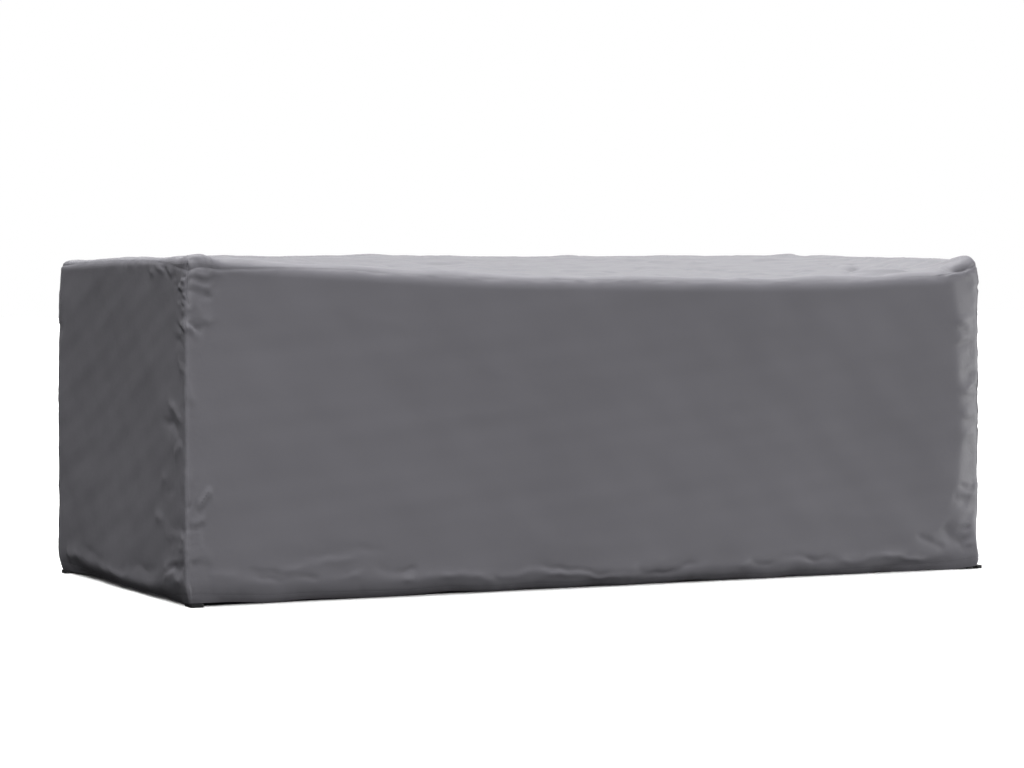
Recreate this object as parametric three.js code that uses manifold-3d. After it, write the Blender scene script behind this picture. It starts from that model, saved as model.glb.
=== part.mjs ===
// Patio table cover: a fitted box of coated polyester, standing as it hangs over furniture.
// Millimetres, +Z up. X runs along the long sides, Y across them, and the origin lies on the
// ground under the middle of the cover. The front is the long side at -Y, and "left" is -X.
import * as THREE from 'three';
import { mergeVertices } from 'three/addons/utils/BufferGeometryUtils.js';
import Module from 'manifold-3d';

const wasm = await Module();
wasm.setup();

// Driving dimensions
const LENGTH = 2400;
const WIDTH = 1060;
const HEIGHT = 900;
const CLOTH = 2;             // thickness of the coated cloth as built
const SEAM_GAP = 0.36;       // panels stay this far apart along a seam
const EDGE_RADIUS = 25;      // how softly the top edges turn over
const HEM_LENGTH = 70;       // the part of a side panel that curls in at the ground
const TOP_HOLLOW = 6;        // how far the middle of the top hangs below its edges
const FRONT_PULL = 1.3;      // how the drop of the front edge fades over the top: 1 is a flat ramp

const HALF_L = LENGTH / 2;
const HALF_W = WIDTH / 2;

// Radius of each vertical edge below the top corner, and of all four at the ground
const POST_RADIUS = { near_left: 9, near_right: 14, far_left: 10, far_right: 26 };
const FOOT_RADIUS = 9;

// Beside the near right corner the cloth is slack and leans back from the front: how far its
// corner goes back and out, and how wide the leaning strip is.
const SLACK_CORNER = { back: 16, out: 5, width: 42 };

// Drop of the top edge below HEIGHT, along each side. The front edge hangs slack between its
// corners, and the left end sinks towards the back.
const FRONT_DROP = [
  { at: -1200, drop: 3 },
  { at: -1120, drop: 10 },
  { at: -880, drop: 25 },
  { at: -600, drop: 49 },
  { at: -300, drop: 66 },
  { at: 0, drop: 73 },
  { at: 540, drop: 81 },
  { at: 770, drop: 79 },
  { at: 940, drop: 66 },
  { at: 1110, drop: 26 },
  { at: 1200, drop: 5 },
];
const BACK_DROP = [
  { at: -1200, drop: 18 },
  { at: -950, drop: 8 },
  { at: -700, drop: 1 },
  { at: 0, drop: 0 },
  { at: 1200, drop: 0 },
];
const LEFT_DROP = [
  { at: -530, drop: 3 },
  { at: -50, drop: 5 },
  { at: 200, drop: 10 },
  { at: 400, drop: 15 },
  { at: 530, drop: 18 },
];
const RIGHT_DROP = [
  { at: -530, drop: 5 },
  { at: 0, drop: 3 },
  { at: 530, drop: 0 },
];

// The hem, going round from the near left corner along the front, the right end, the back and
// the left end. turn is how many degrees the bottom of the cloth curls in, and clear is the
// height of its lowest point above the ground.
const HEM = [
  { round: 0, turn: 24, clear: 10.5 },
  { round: 60, turn: 32, clear: 10.5 },
  { round: 180, turn: 55, clear: 8 },
  { round: 900, turn: 82, clear: 8 },
  { round: 1500, turn: 98, clear: 7 },
  { round: 2000, turn: 74, clear: 7 },
  { round: 2300, turn: 40, clear: 1 },
  { round: 2360, turn: 26, clear: 6 },
  { round: 2400, turn: 18, clear: 10.5 },
  { round: 2460, turn: 26, clear: 10.5 },
  { round: 2600, turn: 60, clear: 6 },
  { round: 2930, turn: 84, clear: 5 },
  { round: 3300, turn: 55, clear: 7 },
  { round: 3460, turn: 26, clear: 10 },
  { round: 3560, turn: 38, clear: 10 },
  { round: 3900, turn: 78, clear: 6 },
  { round: 4660, turn: 86, clear: 5 },
  { round: 5500, turn: 66, clear: 7 },
  { round: 5860, turn: 34, clear: 14 },
  { round: 5960, turn: 48, clear: 14 },
  { round: 6200, turn: 92, clear: 6 },
  { round: 6600, turn: 108, clear: 3 },
  { round: 6790, turn: 58, clear: 4 },
  { round: 6865, turn: 28, clear: 9 },
  { round: 6920, turn: 24, clear: 10.5 },
];

// Soft bumps: centre x, y, z, push dx, dy, dz and reach. The corner ears stand where seams
// meet over something hard, and the long low ones are the slack of the big panels.
const BUMPS = [
  { x: -1162, y: -508, z: 900, dx: 0, dy: 0, dz: 8, reach: 34 },
  { x: 1158, y: -498, z: 900, dx: 0, dy: 0, dz: 6, reach: 34 },
  { x: -1165, y: 495, z: 900, dx: 0, dy: 0, dz: 4, reach: 40 },
  { x: 1165, y: 495, z: 900, dx: 0, dy: 0, dz: 4, reach: 40 },
  { x: 1200, y: -530, z: 30, dx: 9, dy: -3, dz: 0, reach: 45 },
  { x: 1200, y: -530, z: 850, dx: 4, dy: -2, dz: 0, reach: 60 },
  { x: -250, y: -530, z: 480, dx: 0, dy: 7, dz: 0, reach: 520 },
  { x: 700, y: -530, z: 420, dx: 0, dy: 8, dz: 0, reach: 420 },
  { x: 200, y: 530, z: 450, dx: 0, dy: -8, dz: 0, reach: 600 },
  { x: -1200, y: 60, z: 480, dx: 6, dy: 0, dz: 0, reach: 330 },
  { x: 1200, y: 40, z: 470, dx: -6, dy: 0, dz: 0, reach: 330 },
];

// Grid lines of the panels: near an edge they stand at these distances from it, and between
// them they are evenly spaced.
const EDGE_LINES = [0, 5, 12, 25, 45, 80, 130, 200];
const LONG_EDGE_LINES = [...EDGE_LINES, 290, 400, 520];
const LONG_MIDDLE = 9;
const SHORT_MIDDLE = 5;
// Heights of the grid rows on the flat cloth, before it drops and curls
const TOP_ROWS = [900, 894, 886, 875, 840, 780];
const MIDDLE_ROWS = [690, 580, 460, 340, 230, 140];
const HEM_ROWS = [92, 70, 52, 35, 18, 0];
const HEIGHTS = [...TOP_ROWS, ...MIDDLE_ROWS, ...HEM_ROWS];

// Corner ties. face is the side whose hem holds the strap, at is its place along that side,
// and out is how far the buckle reaches past the flat of that side.
const TIES = [
  { name: 'near_left', face: 'front', at: -1169, out: 3 },
  { name: 'near_right', face: 'right', at: -500, out: 26 },
  { name: 'far_left', face: 'left', at: 484, out: 6 },
  { name: 'far_right', face: 'back', at: 1160, out: -2 },
];
const STRAP_WIDTH = 20;
const STRAP_THICK = 1.6;
const STRAP_GAP = 0.6;       // between the strap and the cloth it is sewn to
const STRAP_TOP = 52;        // height up to which the strap is sewn on
const BUCKLE = { length: 52, width: 34, thick: 9, bar: 4.5, slot: 9, tongue: 20, gap: 0.35 };
const BUCKLE_CORNER = 4;     // radius of its rounded outline
const BUCKLE_WALL = 3;       // of the sleeve that the prongs go into
const BAR_LOW = 3.8;         // underside and top of the bar that the strap goes round
const BAR_HIGH = 8.2;
const PRONG_WIDTH = 6;
const PRONG_REACH = 15;      // how far the prongs stand out of the tongue
const CAVITY_REACH = 19;     // how deep the sleeve is
const WINDOW = 9;            // opening in each side of the sleeve, and how far in its middle is
const WINDOW_IN = 10;
const END_SLOT = 5;          // slot in the sleeve's closed end, and how far in its middle is
const END_SLOT_IN = 7;
const CUT = 1;               // a cut reaches this far past the faces it opens

const smooth = (low, high, t) => THREE.MathUtils.smoothstep(t, low, high);

// A smooth curve through the rows of a table (cubic Hermite with averaged slopes).
function along(table, key, value, at) {
  const last = table.length - 1;
  const t = THREE.MathUtils.clamp(at, table[0][key], table[last][key]);
  let i = 0;
  while (i < last - 1 && t > table[i + 1][key]) i += 1;
  const slope = (j) => {
    const a = Math.max(j - 1, 0);
    const b = Math.min(j + 1, last);
    return (table[b][value] - table[a][value]) / (table[b][key] - table[a][key]);
  };
  const [p, q] = [table[i], table[i + 1]];
  const span = q[key] - p[key];
  const s = (t - p[key]) / span;
  const [s2, s3] = [s * s, s * s * s];
  return (2 * s3 - 3 * s2 + 1) * p[value] + (s3 - 2 * s2 + s) * span * slope(i)
    + (3 * s2 - 2 * s3) * q[value] + (s3 - s2) * span * slope(i + 1);
}

// Distance round the cover of a point on each side, from the near left corner.
const roundOf = {
  front: (x) => x + HALF_L,
  right: (x, y) => LENGTH + y + HALF_W,
  back: (x) => LENGTH + WIDTH + HALF_L - x,
  left: (x, y) => 2 * LENGTH + WIDTH + HALF_W - y,
};

// Drop of the top at x, y: the four edge curves, blended across the panel, and its own hollow.
function topDrop(x, y) {
  const u = x / LENGTH + 0.5;
  const v = 0.5 - y / WIDTH;
  const front = v ** FRONT_PULL;
  const left = (1 - u) ** 3;
  const right = u ** 3;
  const back = 1 - front;
  const curve = (table, at) => along(table, 'at', 'drop', at);
  const corners = back * (left * curve(BACK_DROP, -HALF_L) + right * curve(BACK_DROP, HALF_L))
    + front * (left * curve(FRONT_DROP, -HALF_L) + right * curve(FRONT_DROP, HALF_L));
  return back * curve(BACK_DROP, x) + front * curve(FRONT_DROP, x)
    + left * curve(LEFT_DROP, y) + right * curve(RIGHT_DROP, y) - corners
    + TOP_HOLLOW * Math.sin(Math.PI * u) ** 0.5 * Math.sin(Math.PI * v);
}

// A point of the sharp box pulled onto the box with rounded edges.
function rounded(x, y, z) {
  const corner = `${y < 0 ? 'near' : 'far'}_${x < 0 ? 'left' : 'right'}`;
  const post = THREE.MathUtils.lerp(FOOT_RADIUS, POST_RADIUS[corner], smooth(40, 170, z));
  const r = THREE.MathUtils.lerp(post, EDGE_RADIUS, smooth(HEIGHT - 200, HEIGHT - 30, z));
  const core = new THREE.Vector3(
    THREE.MathUtils.clamp(x, r - HALF_L, HALF_L - r),
    THREE.MathUtils.clamp(y, r - HALF_W, HALF_W - r),
    Math.min(z, HEIGHT - EDGE_RADIUS),
  );
  const out = new THREE.Vector3((x - core.x) / r, (y - core.y) / r, (z - core.z) / EDGE_RADIUS);
  out.normalize();
  return core.add(new THREE.Vector3(out.x * r, out.y * r, out.z * EDGE_RADIUS));
}

// The curl of the hem at a distance round the cover: height where it starts, and how far in
// the cloth has gone at height h of the flat panel.
function hemAt(round) {
  const turn = THREE.MathUtils.degToRad(along(HEM, 'round', 'turn', round));
  const clear = along(HEM, 'round', 'clear', round);
  const radius = HEM_LENGTH / turn;
  return { turn, clear, radius, start: clear + radius * Math.sin(Math.min(turn, Math.PI / 2)) };
}

function curl(hem, h) {
  const angle = hem.turn * Math.max(0, HEM_LENGTH - h) / HEM_LENGTH;
  return { inward: hem.radius * (1 - Math.cos(angle)), down: hem.radius * Math.sin(angle) };
}

// Where a point of the flat-sided box ends up on the hanging cover. side is the panel's side,
// or the nearest side for a point of the top.
function hang(side, x, y, h) {
  const p = rounded(x, y, h);
  const hem = hemAt(roundOf[side](x, y));
  const endHem = hemAt(roundOf[x < 0 ? 'left' : 'right'](x, y));
  const longHem = hemAt(roundOf[y < 0 ? 'front' : 'back'](x, y));
  const top = HEIGHT - topDrop(x, y);
  const stretch = (top - hem.start) / (HEIGHT - HEM_LENGTH);
  const z = p.z > HEM_LENGTH ? top - (HEIGHT - p.z) * stretch : hem.start - curl(hem, p.z).down;
  const spot = new THREE.Vector3(
    p.x * (1 - curl(endHem, p.z).inward / HALF_L),
    p.y * (1 - curl(longHem, p.z).inward / HALF_W),
    z,
  );
  const moved = spot.clone();
  const fromCorner = Math.hypot(HALF_L - x, y + HALF_W) / SLACK_CORNER.width;
  const lean = Math.exp(-fromCorner * fromCorner)
    * smooth(60, 170, h) * (1 - smooth(HEIGHT - 90, HEIGHT - 10, h));
  moved.add(new THREE.Vector3(SLACK_CORNER.out, SLACK_CORNER.back, 0).multiplyScalar(lean));
  for (const bump of BUMPS) {
    const far = Math.hypot(x - bump.x, y - bump.y, h - bump.z) / bump.reach;
    moved.addScaledVector(new THREE.Vector3(bump.dx, bump.dy, bump.dz), Math.exp(-far * far));
  }
  return moved;
}

function gridLines(half, edge, middle) {
  const inner = half - edge[edge.length - 1];
  const between = Array.from({ length: middle - 1 }, (_, i) => inner * (2 * (i + 1) / middle - 1));
  return [...edge.map((d) => d - half), ...between, ...edge.map((d) => half - d).reverse()];
}
const LONG_LINES = gridLines(HALF_L, LONG_EDGE_LINES, LONG_MIDDLE);
const SHORT_LINES = gridLines(HALF_W, EDGE_LINES, SHORT_MIDDLE);

// Each panel's grid on the outside of the cloth. Seen from outside, the columns run to the
// right and the rows run down the panel.
const PANELS = {
  top_panel: { columns: LONG_LINES, rows: SHORT_LINES, hem: false },
  front_panel: { columns: LONG_LINES, rows: HEIGHTS, hem: true },
  back_panel: { columns: [...LONG_LINES].reverse(), rows: HEIGHTS, hem: true },
  right_end_panel: { columns: SHORT_LINES, rows: HEIGHTS, hem: true },
  left_end_panel: { columns: [...SHORT_LINES].reverse(), rows: HEIGHTS, hem: true },
};

function nearestSide(x, y) {
  const toEnd = HALF_L - Math.abs(x);
  const toLong = HALF_W - Math.abs(y);
  if (toEnd < toLong) return x < 0 ? 'left' : 'right';
  return y < 0 ? 'front' : 'back';
}

function outside(name, a, b) {
  if (name === 'top_panel') return hang(nearestSide(a, -b), a, -b, HEIGHT);
  if (name === 'front_panel') return hang('front', a, -HALF_W, b);
  if (name === 'back_panel') return hang('back', a, HALF_W, b);
  if (name === 'right_end_panel') return hang('right', HALF_L, a, b);
  return hang('left', -HALF_L, a, b);
}

// Triangles of a grid of points, stored row after row.
function gridTriangles(columns, rows, flip) {
  const triangles = [];
  for (let j = 0; j < rows - 1; j += 1) {
    for (let i = 0; i < columns - 1; i += 1) {
      const a = j * columns + i;
      const [b, c, d] = [a + 1, a + columns, a + columns + 1];
      triangles.push(...(flip ? [a, b, c, b, d, c] : [a, c, b, b, c, d]));
    }
  }
  return triangles;
}

// Normals of the whole cover, with the panels' shared seam points welded, so that two panels
// that meet get their thickness in the same direction there.
function shellNormals(grids) {
  const positions = [];
  const index = [];
  for (const grid of grids) {
    const base = positions.length / 3;
    grid.points.forEach((p) => positions.push(p.x, p.y, p.z));
    index.push(...gridTriangles(grid.columns, grid.rows, false).map((i) => i + base));
  }
  const shell = new THREE.BufferGeometry();
  shell.setAttribute('position', new THREE.Float32BufferAttribute(positions, 3));
  shell.setIndex(index);
  const welded = mergeVertices(shell, 0.01);
  welded.computeVertexNormals();
  const place = welded.getAttribute('position');
  const normal = welded.getAttribute('normal');
  const found = new Map();
  const key = (x, y, z) => [x, y, z].map((c) => Math.round(c * 20)).join();
  for (let i = 0; i < place.count; i += 1) {
    found.set(key(place.getX(i), place.getY(i), place.getZ(i)),
      new THREE.Vector3().fromBufferAttribute(normal, i));
  }
  return (p) => {
    const f = p.toArray().map(Math.fround);
    return found.get(key(...f));
  };
}

// One panel as a closed sheet: the grid outside, the same grid a cloth's thickness further in,
// and a rim. Seam edges are drawn back from the seam line, and a hem edge isn't.
function sheet(grid, normalAt) {
  const { columns, rows, hem } = grid;
  const at = (i, j) => j * columns + i;
  const outer = grid.points.map((p) => p.clone());
  const inner = grid.points.map((p) => p.clone().addScaledVector(normalAt(p), -CLOTH));
  const drawBack = (points) => points.map((p, k) => {
    const i = k % columns;
    const j = Math.floor(k / columns);
    const moved = p.clone();
    const towards = (other) => moved.addScaledVector(other.clone().sub(p).normalize(), SEAM_GAP / 2);
    if (i === 0) towards(points[at(1, j)]);
    if (i === columns - 1) towards(points[at(i - 1, j)]);
    if (j === 0) towards(points[at(i, 1)]);
    if (j === rows - 1 && !hem) towards(points[at(i, j - 1)]);
    return moved;
  });
  const points = [...drawBack(outer), ...drawBack(inner)];
  const count = columns * rows;
  const triangles = gridTriangles(columns, rows, false);
  triangles.push(...gridTriangles(columns, rows, true).map((i) => i + count));
  const rim = [];
  for (let i = 0; i < columns - 1; i += 1) rim.push(at(i, 0));
  for (let j = 0; j < rows - 1; j += 1) rim.push(at(columns - 1, j));
  for (let i = columns - 1; i > 0; i -= 1) rim.push(at(i, rows - 1));
  for (let j = rows - 1; j > 0; j -= 1) rim.push(at(0, j));
  rim.forEach((a, k) => {
    const b = rim[(k + 1) % rim.length];
    triangles.push(a, b, a + count, b, b + count, a + count);
  });
  const geometry = new THREE.BufferGeometry();
  const places = points.flatMap((p) => p.toArray());
  geometry.setAttribute('position', new THREE.Float32BufferAttribute(places, 3));
  geometry.setIndex(triangles);
  return geometry;
}

const finish = (color, roughness) => new THREE.MeshStandardMaterial({ color, roughness, metalness: 0 });
const coverCloth = () => finish(0x646368, 0.55);
const webbing = () => finish(0x17171a, 0.85);
const plastic = () => finish(0x101012, 0.45);

const group = new THREE.Group();
function add(name, geometry, material) {
  const mesh = new THREE.Mesh(geometry, material);
  mesh.name = name;
  group.add(mesh);
}

// The five cloth panels
const grids = Object.entries(PANELS).map(([name, { columns, rows, hem }]) => ({
  name,
  hem,
  columns: columns.length,
  rows: rows.length,
  points: rows.flatMap((b) => columns.map((a) => outside(name, a, b))),
}));
const normalAt = shellNormals(grids);
for (const grid of grids) add(grid.name, sheet(grid, normalAt), coverCloth());

// manifold-3d joins and cuts for the buckles
function solid(geometry) {
  const bare = geometry.clone();
  bare.deleteAttribute('normal');
  bare.deleteAttribute('uv');
  const merged = mergeVertices(bare, 1e-4);
  return new wasm.Manifold(new wasm.Mesh({
    numProp: 3,
    vertProperties: new Float32Array(merged.getAttribute('position').array),
    triVerts: new Uint32Array(merged.getIndex().array),
  }));
}

function fromSolid(body) {
  const mesh = body.getMesh();
  const geometry = new THREE.BufferGeometry();
  geometry.setAttribute('position', new THREE.BufferAttribute(mesh.vertProperties, 3));
  geometry.setIndex(new THREE.BufferAttribute(mesh.triVerts, 1));
  return geometry;
}

const block = (x, y, z, cx, cy, cz) => new THREE.BoxGeometry(x, y, z).translate(cx, cy, cz);

// A flat plate with rounded ends, from u0 to u1 and as wide as given, lying from z0 to z1.
function plate(u0, u1, width, z0, z1, radius) {
  const w = width / 2;
  const shape = new THREE.Shape();
  shape.moveTo(u0 + radius, -w);
  shape.lineTo(u1 - radius, -w);
  shape.absarc(u1 - radius, -w + radius, radius, -Math.PI / 2, 0, false);
  shape.lineTo(u1, w - radius);
  shape.absarc(u1 - radius, w - radius, radius, 0, Math.PI / 2, false);
  shape.lineTo(u0 + radius, w);
  shape.absarc(u0 + radius, w - radius, radius, Math.PI / 2, Math.PI, false);
  shape.lineTo(u0, -w + radius);
  shape.absarc(u0 + radius, -w + radius, radius, Math.PI, 1.5 * Math.PI, false);
  const depth = z1 - z0;
  const slab = new THREE.ExtrudeGeometry(shape, { depth, bevelEnabled: false, curveSegments: 4 });
  return slab.translate(0, 0, z0);
}

// The buckle lies along u with its free end at u = 0 and the strap's bar at u = -length.
// The tongue is the half with the bar: a plate with two prongs that sit inside the body.
function buckleTongue() {
  const { length, width, thick, bar, slot, tongue, gap } = BUCKLE;
  const middle = thick / 2;
  const across = STRAP_WIDTH + 2;
  const barMiddle = -length + bar / 2 - CUT;
  const armMiddle = -length + tongue + PRONG_REACH / 2 - CUT / 2;
  const armSide = width / 2 - BUCKLE_WALL - gap - PRONG_WIDTH / 2;
  const rear = plate(-length, -length + tongue, width, 0, thick, BUCKLE_CORNER);
  const opening = block(slot, across, thick + 2 * CUT, -length + bar + slot / 2, 0, middle);
  const under = block(bar + 2 * CUT, across, BAR_LOW + 2 * CUT, barMiddle, 0, BAR_LOW / 2 - CUT);
  const over = block(bar + 2 * CUT, across, 4 * CUT, barMiddle, 0, BAR_HIGH + 2 * CUT);
  let piece = solid(rear).subtract(solid(opening)).subtract(solid(under)).subtract(solid(over));
  for (const side of [-1, 1]) {
    const arm = block(PRONG_REACH + CUT, PRONG_WIDTH, middle, armMiddle, side * armSide, middle);
    piece = piece.add(solid(arm));
  }
  return fromSolid(piece);
}

// The body is the other half: a sleeve that is open towards the tongue and at its two sides,
// where the prongs are pressed to let go.
function buckleBody() {
  const { length, width, thick, tongue, gap } = BUCKLE;
  const middle = thick / 2;
  const mouth = -length + tongue;
  const height = middle + 2 * gap;
  const cavityWidth = width - 2 * BUCKLE_WALL;
  const cavityMiddle = mouth + (CAVITY_REACH - CUT) / 2;
  const shell = plate(mouth + gap, 0, width, 0, thick, BUCKLE_CORNER);
  const cavity = block(CAVITY_REACH + CUT, cavityWidth, height, cavityMiddle, 0, middle);
  const windowCut = block(WINDOW, width + 2 * CUT, height, mouth + WINDOW_IN, 0, middle);
  const endSlot = block(END_SLOT, STRAP_WIDTH + 2, thick + 2 * CUT, -END_SLOT_IN, 0, middle);
  return fromSolid([cavity, windowCut, endSlot].reduce((a, b) => a.subtract(solid(b)), solid(shell)));
}

// The strap is sewn flat to the inside of the hem, turns in over the buckle, and goes round the
// tongue's bar. inside gives the inner face of the cloth at a height.
function strapGeometry(out, inside) {
  const { length, thick, bar } = BUCKLE;
  const overBuckle = thick + STRAP_GAP + STRAP_THICK / 2;
  const centre = [];
  const legStep = 9;
  const bend = 5;              // radius of the turn inwards, and where the leg above it ends
  const legFoot = overBuckle + bend + 1;
  for (let z = STRAP_TOP; z > legFoot; z -= legStep) {
    centre.push([inside(z) - STRAP_GAP - STRAP_THICK / 2, z]);
  }
  const legU = inside(legFoot) - STRAP_GAP - STRAP_THICK / 2 - 0.5;
  const drop = 0.8 * bend;
  for (let k = 0; k <= 4; k += 1) {
    const angle = (k / 4) * Math.PI / 2;
    centre.push([legU - bend * (1 - Math.cos(angle)), overBuckle + drop * (1 - Math.sin(angle))]);
  }
  const barU = out - length + bar / 2;
  const wrap = (overBuckle - STRAP_THICK / 2 - 1) / 2;
  const turned = legU - bend;
  centre.push([(turned + barU) / 2, overBuckle]);
  for (let k = 0; k <= 6; k += 1) {
    const angle = Math.PI / 2 + (k / 6) * Math.PI;
    const round = [wrap * Math.cos(angle), wrap * Math.sin(angle)];
    centre.push([barU - bar / 2 + 1 + round[0], overBuckle - wrap + round[1]]);
  }
  const side = (sign) => centre.map(([u, z], i) => {
    const [a, b] = [centre[Math.max(i - 1, 0)], centre[Math.min(i + 1, centre.length - 1)]];
    const run = new THREE.Vector2(b[0] - a[0], b[1] - a[1]).normalize();
    return new THREE.Vector2(u - sign * run.y * STRAP_THICK / 2, z + sign * run.x * STRAP_THICK / 2);
  });
  const shape = new THREE.Shape([...side(1), ...side(-1).reverse()]);
  const band = new THREE.ExtrudeGeometry(shape, { depth: STRAP_WIDTH, bevelEnabled: false });
  band.deleteAttribute('uv');
  band.deleteAttribute('normal');
  return mergeVertices(band.translate(0, 0, -STRAP_WIDTH / 2).rotateX(Math.PI / 2), 1e-3);
}

// Places a piece drawn with u outwards, across sideways and z up, at a side of the cover.
function atSide(geometry, face, at, out) {
  const turn = { front: -Math.PI / 2, right: 0, back: Math.PI / 2, left: Math.PI }[face];
  const flat = { front: HALF_W, right: HALF_L, back: HALF_W, left: HALF_L }[face] + out;
  const spot = { front: [at, -flat], right: [flat, at], back: [at, flat], left: [-flat, at] }[face];
  return geometry.rotateZ(turn).translate(spot[0], spot[1], 0);
}

// How far inside the flat of its side the cloth's inner face lies, at a height above ground,
// where it reaches furthest in across the width of a strap.
function insideOf(face, at) {
  const panel = `${face}_${face === 'front' || face === 'back' ? 'panel' : 'end_panel'}`;
  const axis = face === 'front' || face === 'back' ? 'y' : 'x';
  const half = axis === 'y' ? HALF_W : HALF_L;
  const profiles = [-0.5, 0, 0.5].map((side) => HEIGHTS.slice().reverse().map((h) => {
    const p = outside(panel, at + side * STRAP_WIDTH, h);
    return [p.z, Math.abs(p[axis]) - half];
  }));
  const depth = (profile, z) => {
    const k = Math.max(1, profile.findIndex(([height]) => height > z));
    const [a, b] = [profile[k - 1], profile[k]];
    const lean = (b[1] - a[1]) / (b[0] - a[0]);
    return a[1] + lean * (z - a[0]) - CLOTH * Math.hypot(1, lean);
  };
  return (z) => Math.min(...profiles.map((profile) => depth(profile, z)));
}

for (const { name, face, at, out } of TIES) {
  add(`strap_${name}`, atSide(strapGeometry(out, insideOf(face, at)), face, at, 0), webbing());
  add(`buckle_tongue_${name}`, atSide(buckleTongue(), face, at, out), plastic());
  add(`buckle_body_${name}`, atSide(buckleBody(), face, at, out), plastic());
}

export default group;
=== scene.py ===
# %% [markdown]
# # A fitted cover for a long patio table
#
# The cover is five cuts of coated cloth sewn into a box: a top, two long sides and two ends.
# It has to look like cloth that hangs over something, so nothing on it is quite straight. The
# front top edge sags, the corners stand up a little, and the hem curls in at the ground.
#
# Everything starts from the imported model, the frame. It gives the size that the picture must
# keep, and the hard little buckles at the corners, which stay as they are.

# %% The frame
import math

import bpy
import mathutils
import numpy as np
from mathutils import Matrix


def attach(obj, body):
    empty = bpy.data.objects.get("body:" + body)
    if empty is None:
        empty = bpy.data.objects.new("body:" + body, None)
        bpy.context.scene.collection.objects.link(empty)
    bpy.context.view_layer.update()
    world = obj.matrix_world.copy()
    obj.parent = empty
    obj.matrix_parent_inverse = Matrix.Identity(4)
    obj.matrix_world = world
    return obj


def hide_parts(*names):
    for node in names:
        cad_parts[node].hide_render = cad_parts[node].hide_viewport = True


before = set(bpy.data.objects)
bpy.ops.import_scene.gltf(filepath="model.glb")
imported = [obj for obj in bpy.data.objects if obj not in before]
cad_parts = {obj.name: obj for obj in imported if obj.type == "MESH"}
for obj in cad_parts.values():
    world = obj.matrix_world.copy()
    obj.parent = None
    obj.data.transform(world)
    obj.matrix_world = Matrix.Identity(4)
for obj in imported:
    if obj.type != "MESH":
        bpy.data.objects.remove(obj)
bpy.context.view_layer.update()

# %% [markdown]
# ## The camera
#
# The picture was taken from just under the height of the top, so the top shows only where its
# front edge sags. A level camera keeps the upright seams upright. Tilting it down would put the
# cover in the same place but make its sides lean, so the frame is shifted instead.

# %% The camera
CAMERA_PLACE = (-3.9088, -8.1382, 0.88)  # metres
CAMERA_TURN = -25.496                    # degrees from straight on to the front
LENS, SENSOR = 111.0, 36                 # millimetres
FRAME_SHIFT = -0.1186                    # downwards, as a share of the picture's width

camera = bpy.data.objects.new("camera", bpy.data.cameras.new("camera"))
bpy.context.collection.objects.link(camera)
camera.location = CAMERA_PLACE
camera.rotation_euler = (math.radians(90), 0, math.radians(CAMERA_TURN))
camera.data.sensor_width = SENSOR
camera.data.lens = LENS
camera.data.shift_y = FRAME_SHIFT
camera.data.clip_end = 200
bpy.context.scene.camera = camera
print("camera", round(math.hypot(*CAMERA_PLACE[:2]), 1), "m from the middle of the cover")

# %% [markdown]
# ## Sizes, as on the cutter's sheet
#
# The shape is worked out in millimetres, on the flat-sided box that the cover would be if it
# were stiff. A place on it is x along the cover, y across it and h above the ground. The short
# tables say how far the real cloth is from that box, and a smooth curve goes through their rows.

# %% Sizes and a curve through a table
LENGTH, WIDTH, HEIGHT = 2400.0, 1060.0, 900.0
HALF_L, HALF_W = LENGTH / 2, WIDTH / 2
CLOTH = 1.6            # thickness that shows at the hem
HEM_LENGTH = 70.0      # the part of a side that curls in at the ground
HEM_SEW = 24.0         # height of the hem's stitching on the flat cloth
EDGE_RADIUS = 25.0     # of the top edges
SLACK_RADIUS = 42.0    # of the slack front top edge, which turns over more softly
FOOT_RADIUS = 9.0      # of the upright edges near the ground
TOP_HOLLOW = 9.0       # how far the top hangs through between its edges
EDGE_LEVEL = 30.0      # the top is level this close to its edges
FRONT_PULL = 1.3       # power with which the front edge's drop fades towards the back

# (place along the edge, drop below HEIGHT)
FRONT_DROP = [(-1200, 3), (-1120, 8), (-880, 19), (-600, 38), (-444, 46), (-300, 51), (0, 57),
              (466, 62), (785, 58), (944, 51), (1040, 48), (1095, 44), (1143, 30), (1175, 13),
              (1200, 1)]
BACK_DROP = [(-1200, 18), (-950, 8), (-700, 1), (0, 0), (700, -1), (1200, -4)]
LEFT_DROP = [(-530, 3), (-50, 5), (200, 10), (400, 15), (530, 18)]
RIGHT_DROP = [(-530, 1), (0, -3), (530, -4)]

# (distance round from the near left corner, how many degrees the hem turns in, its height)
HEM = [(0, 24, 9), (60, 32, 8), (180, 46, 4), (500, 60, 3), (900, 68, 2.5), (1500, 76, 2),
       (2000, 62, 2), (2300, 40, 1), (2360, 26, 6), (2400, 18, 10.5), (2460, 26, 10.5),
       (2600, 60, 6), (2930, 84, 5), (3300, 55, 7), (3460, 26, 10), (3560, 38, 10), (3900, 78, 6),
       (4660, 86, 5), (5500, 66, 7), (5800, 24, 6), (5860, 16, 6), (5930, 26, 6),
       (6200, 92, 6), (6600, 108, 3), (6790, 58, 2), (6865, 28, 5), (6920, 24, 9)]
HEM_TURN = [(place, turn) for place, turn, clear in HEM]
HEM_CLEAR = [(place, clear) for place, turn, clear in HEM]

# (distance round, how far the top seam slips down over the edge)
SEAM_SLIP = [(0, 40), (45, 32), (110, 28), (180, 23), (260, 14), (340, 7), (430, 0), (2285, 0),
             (2320, 5), (2345, 15), (2365, 21), (2400, 24), (2470, 16), (2600, 2), (3300, 3),
             (3460, 12), (3600, 2), (5700, 2), (5860, 12), (6000, 4), (6500, 8), (6780, 20),
             (6920, 40)]

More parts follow.
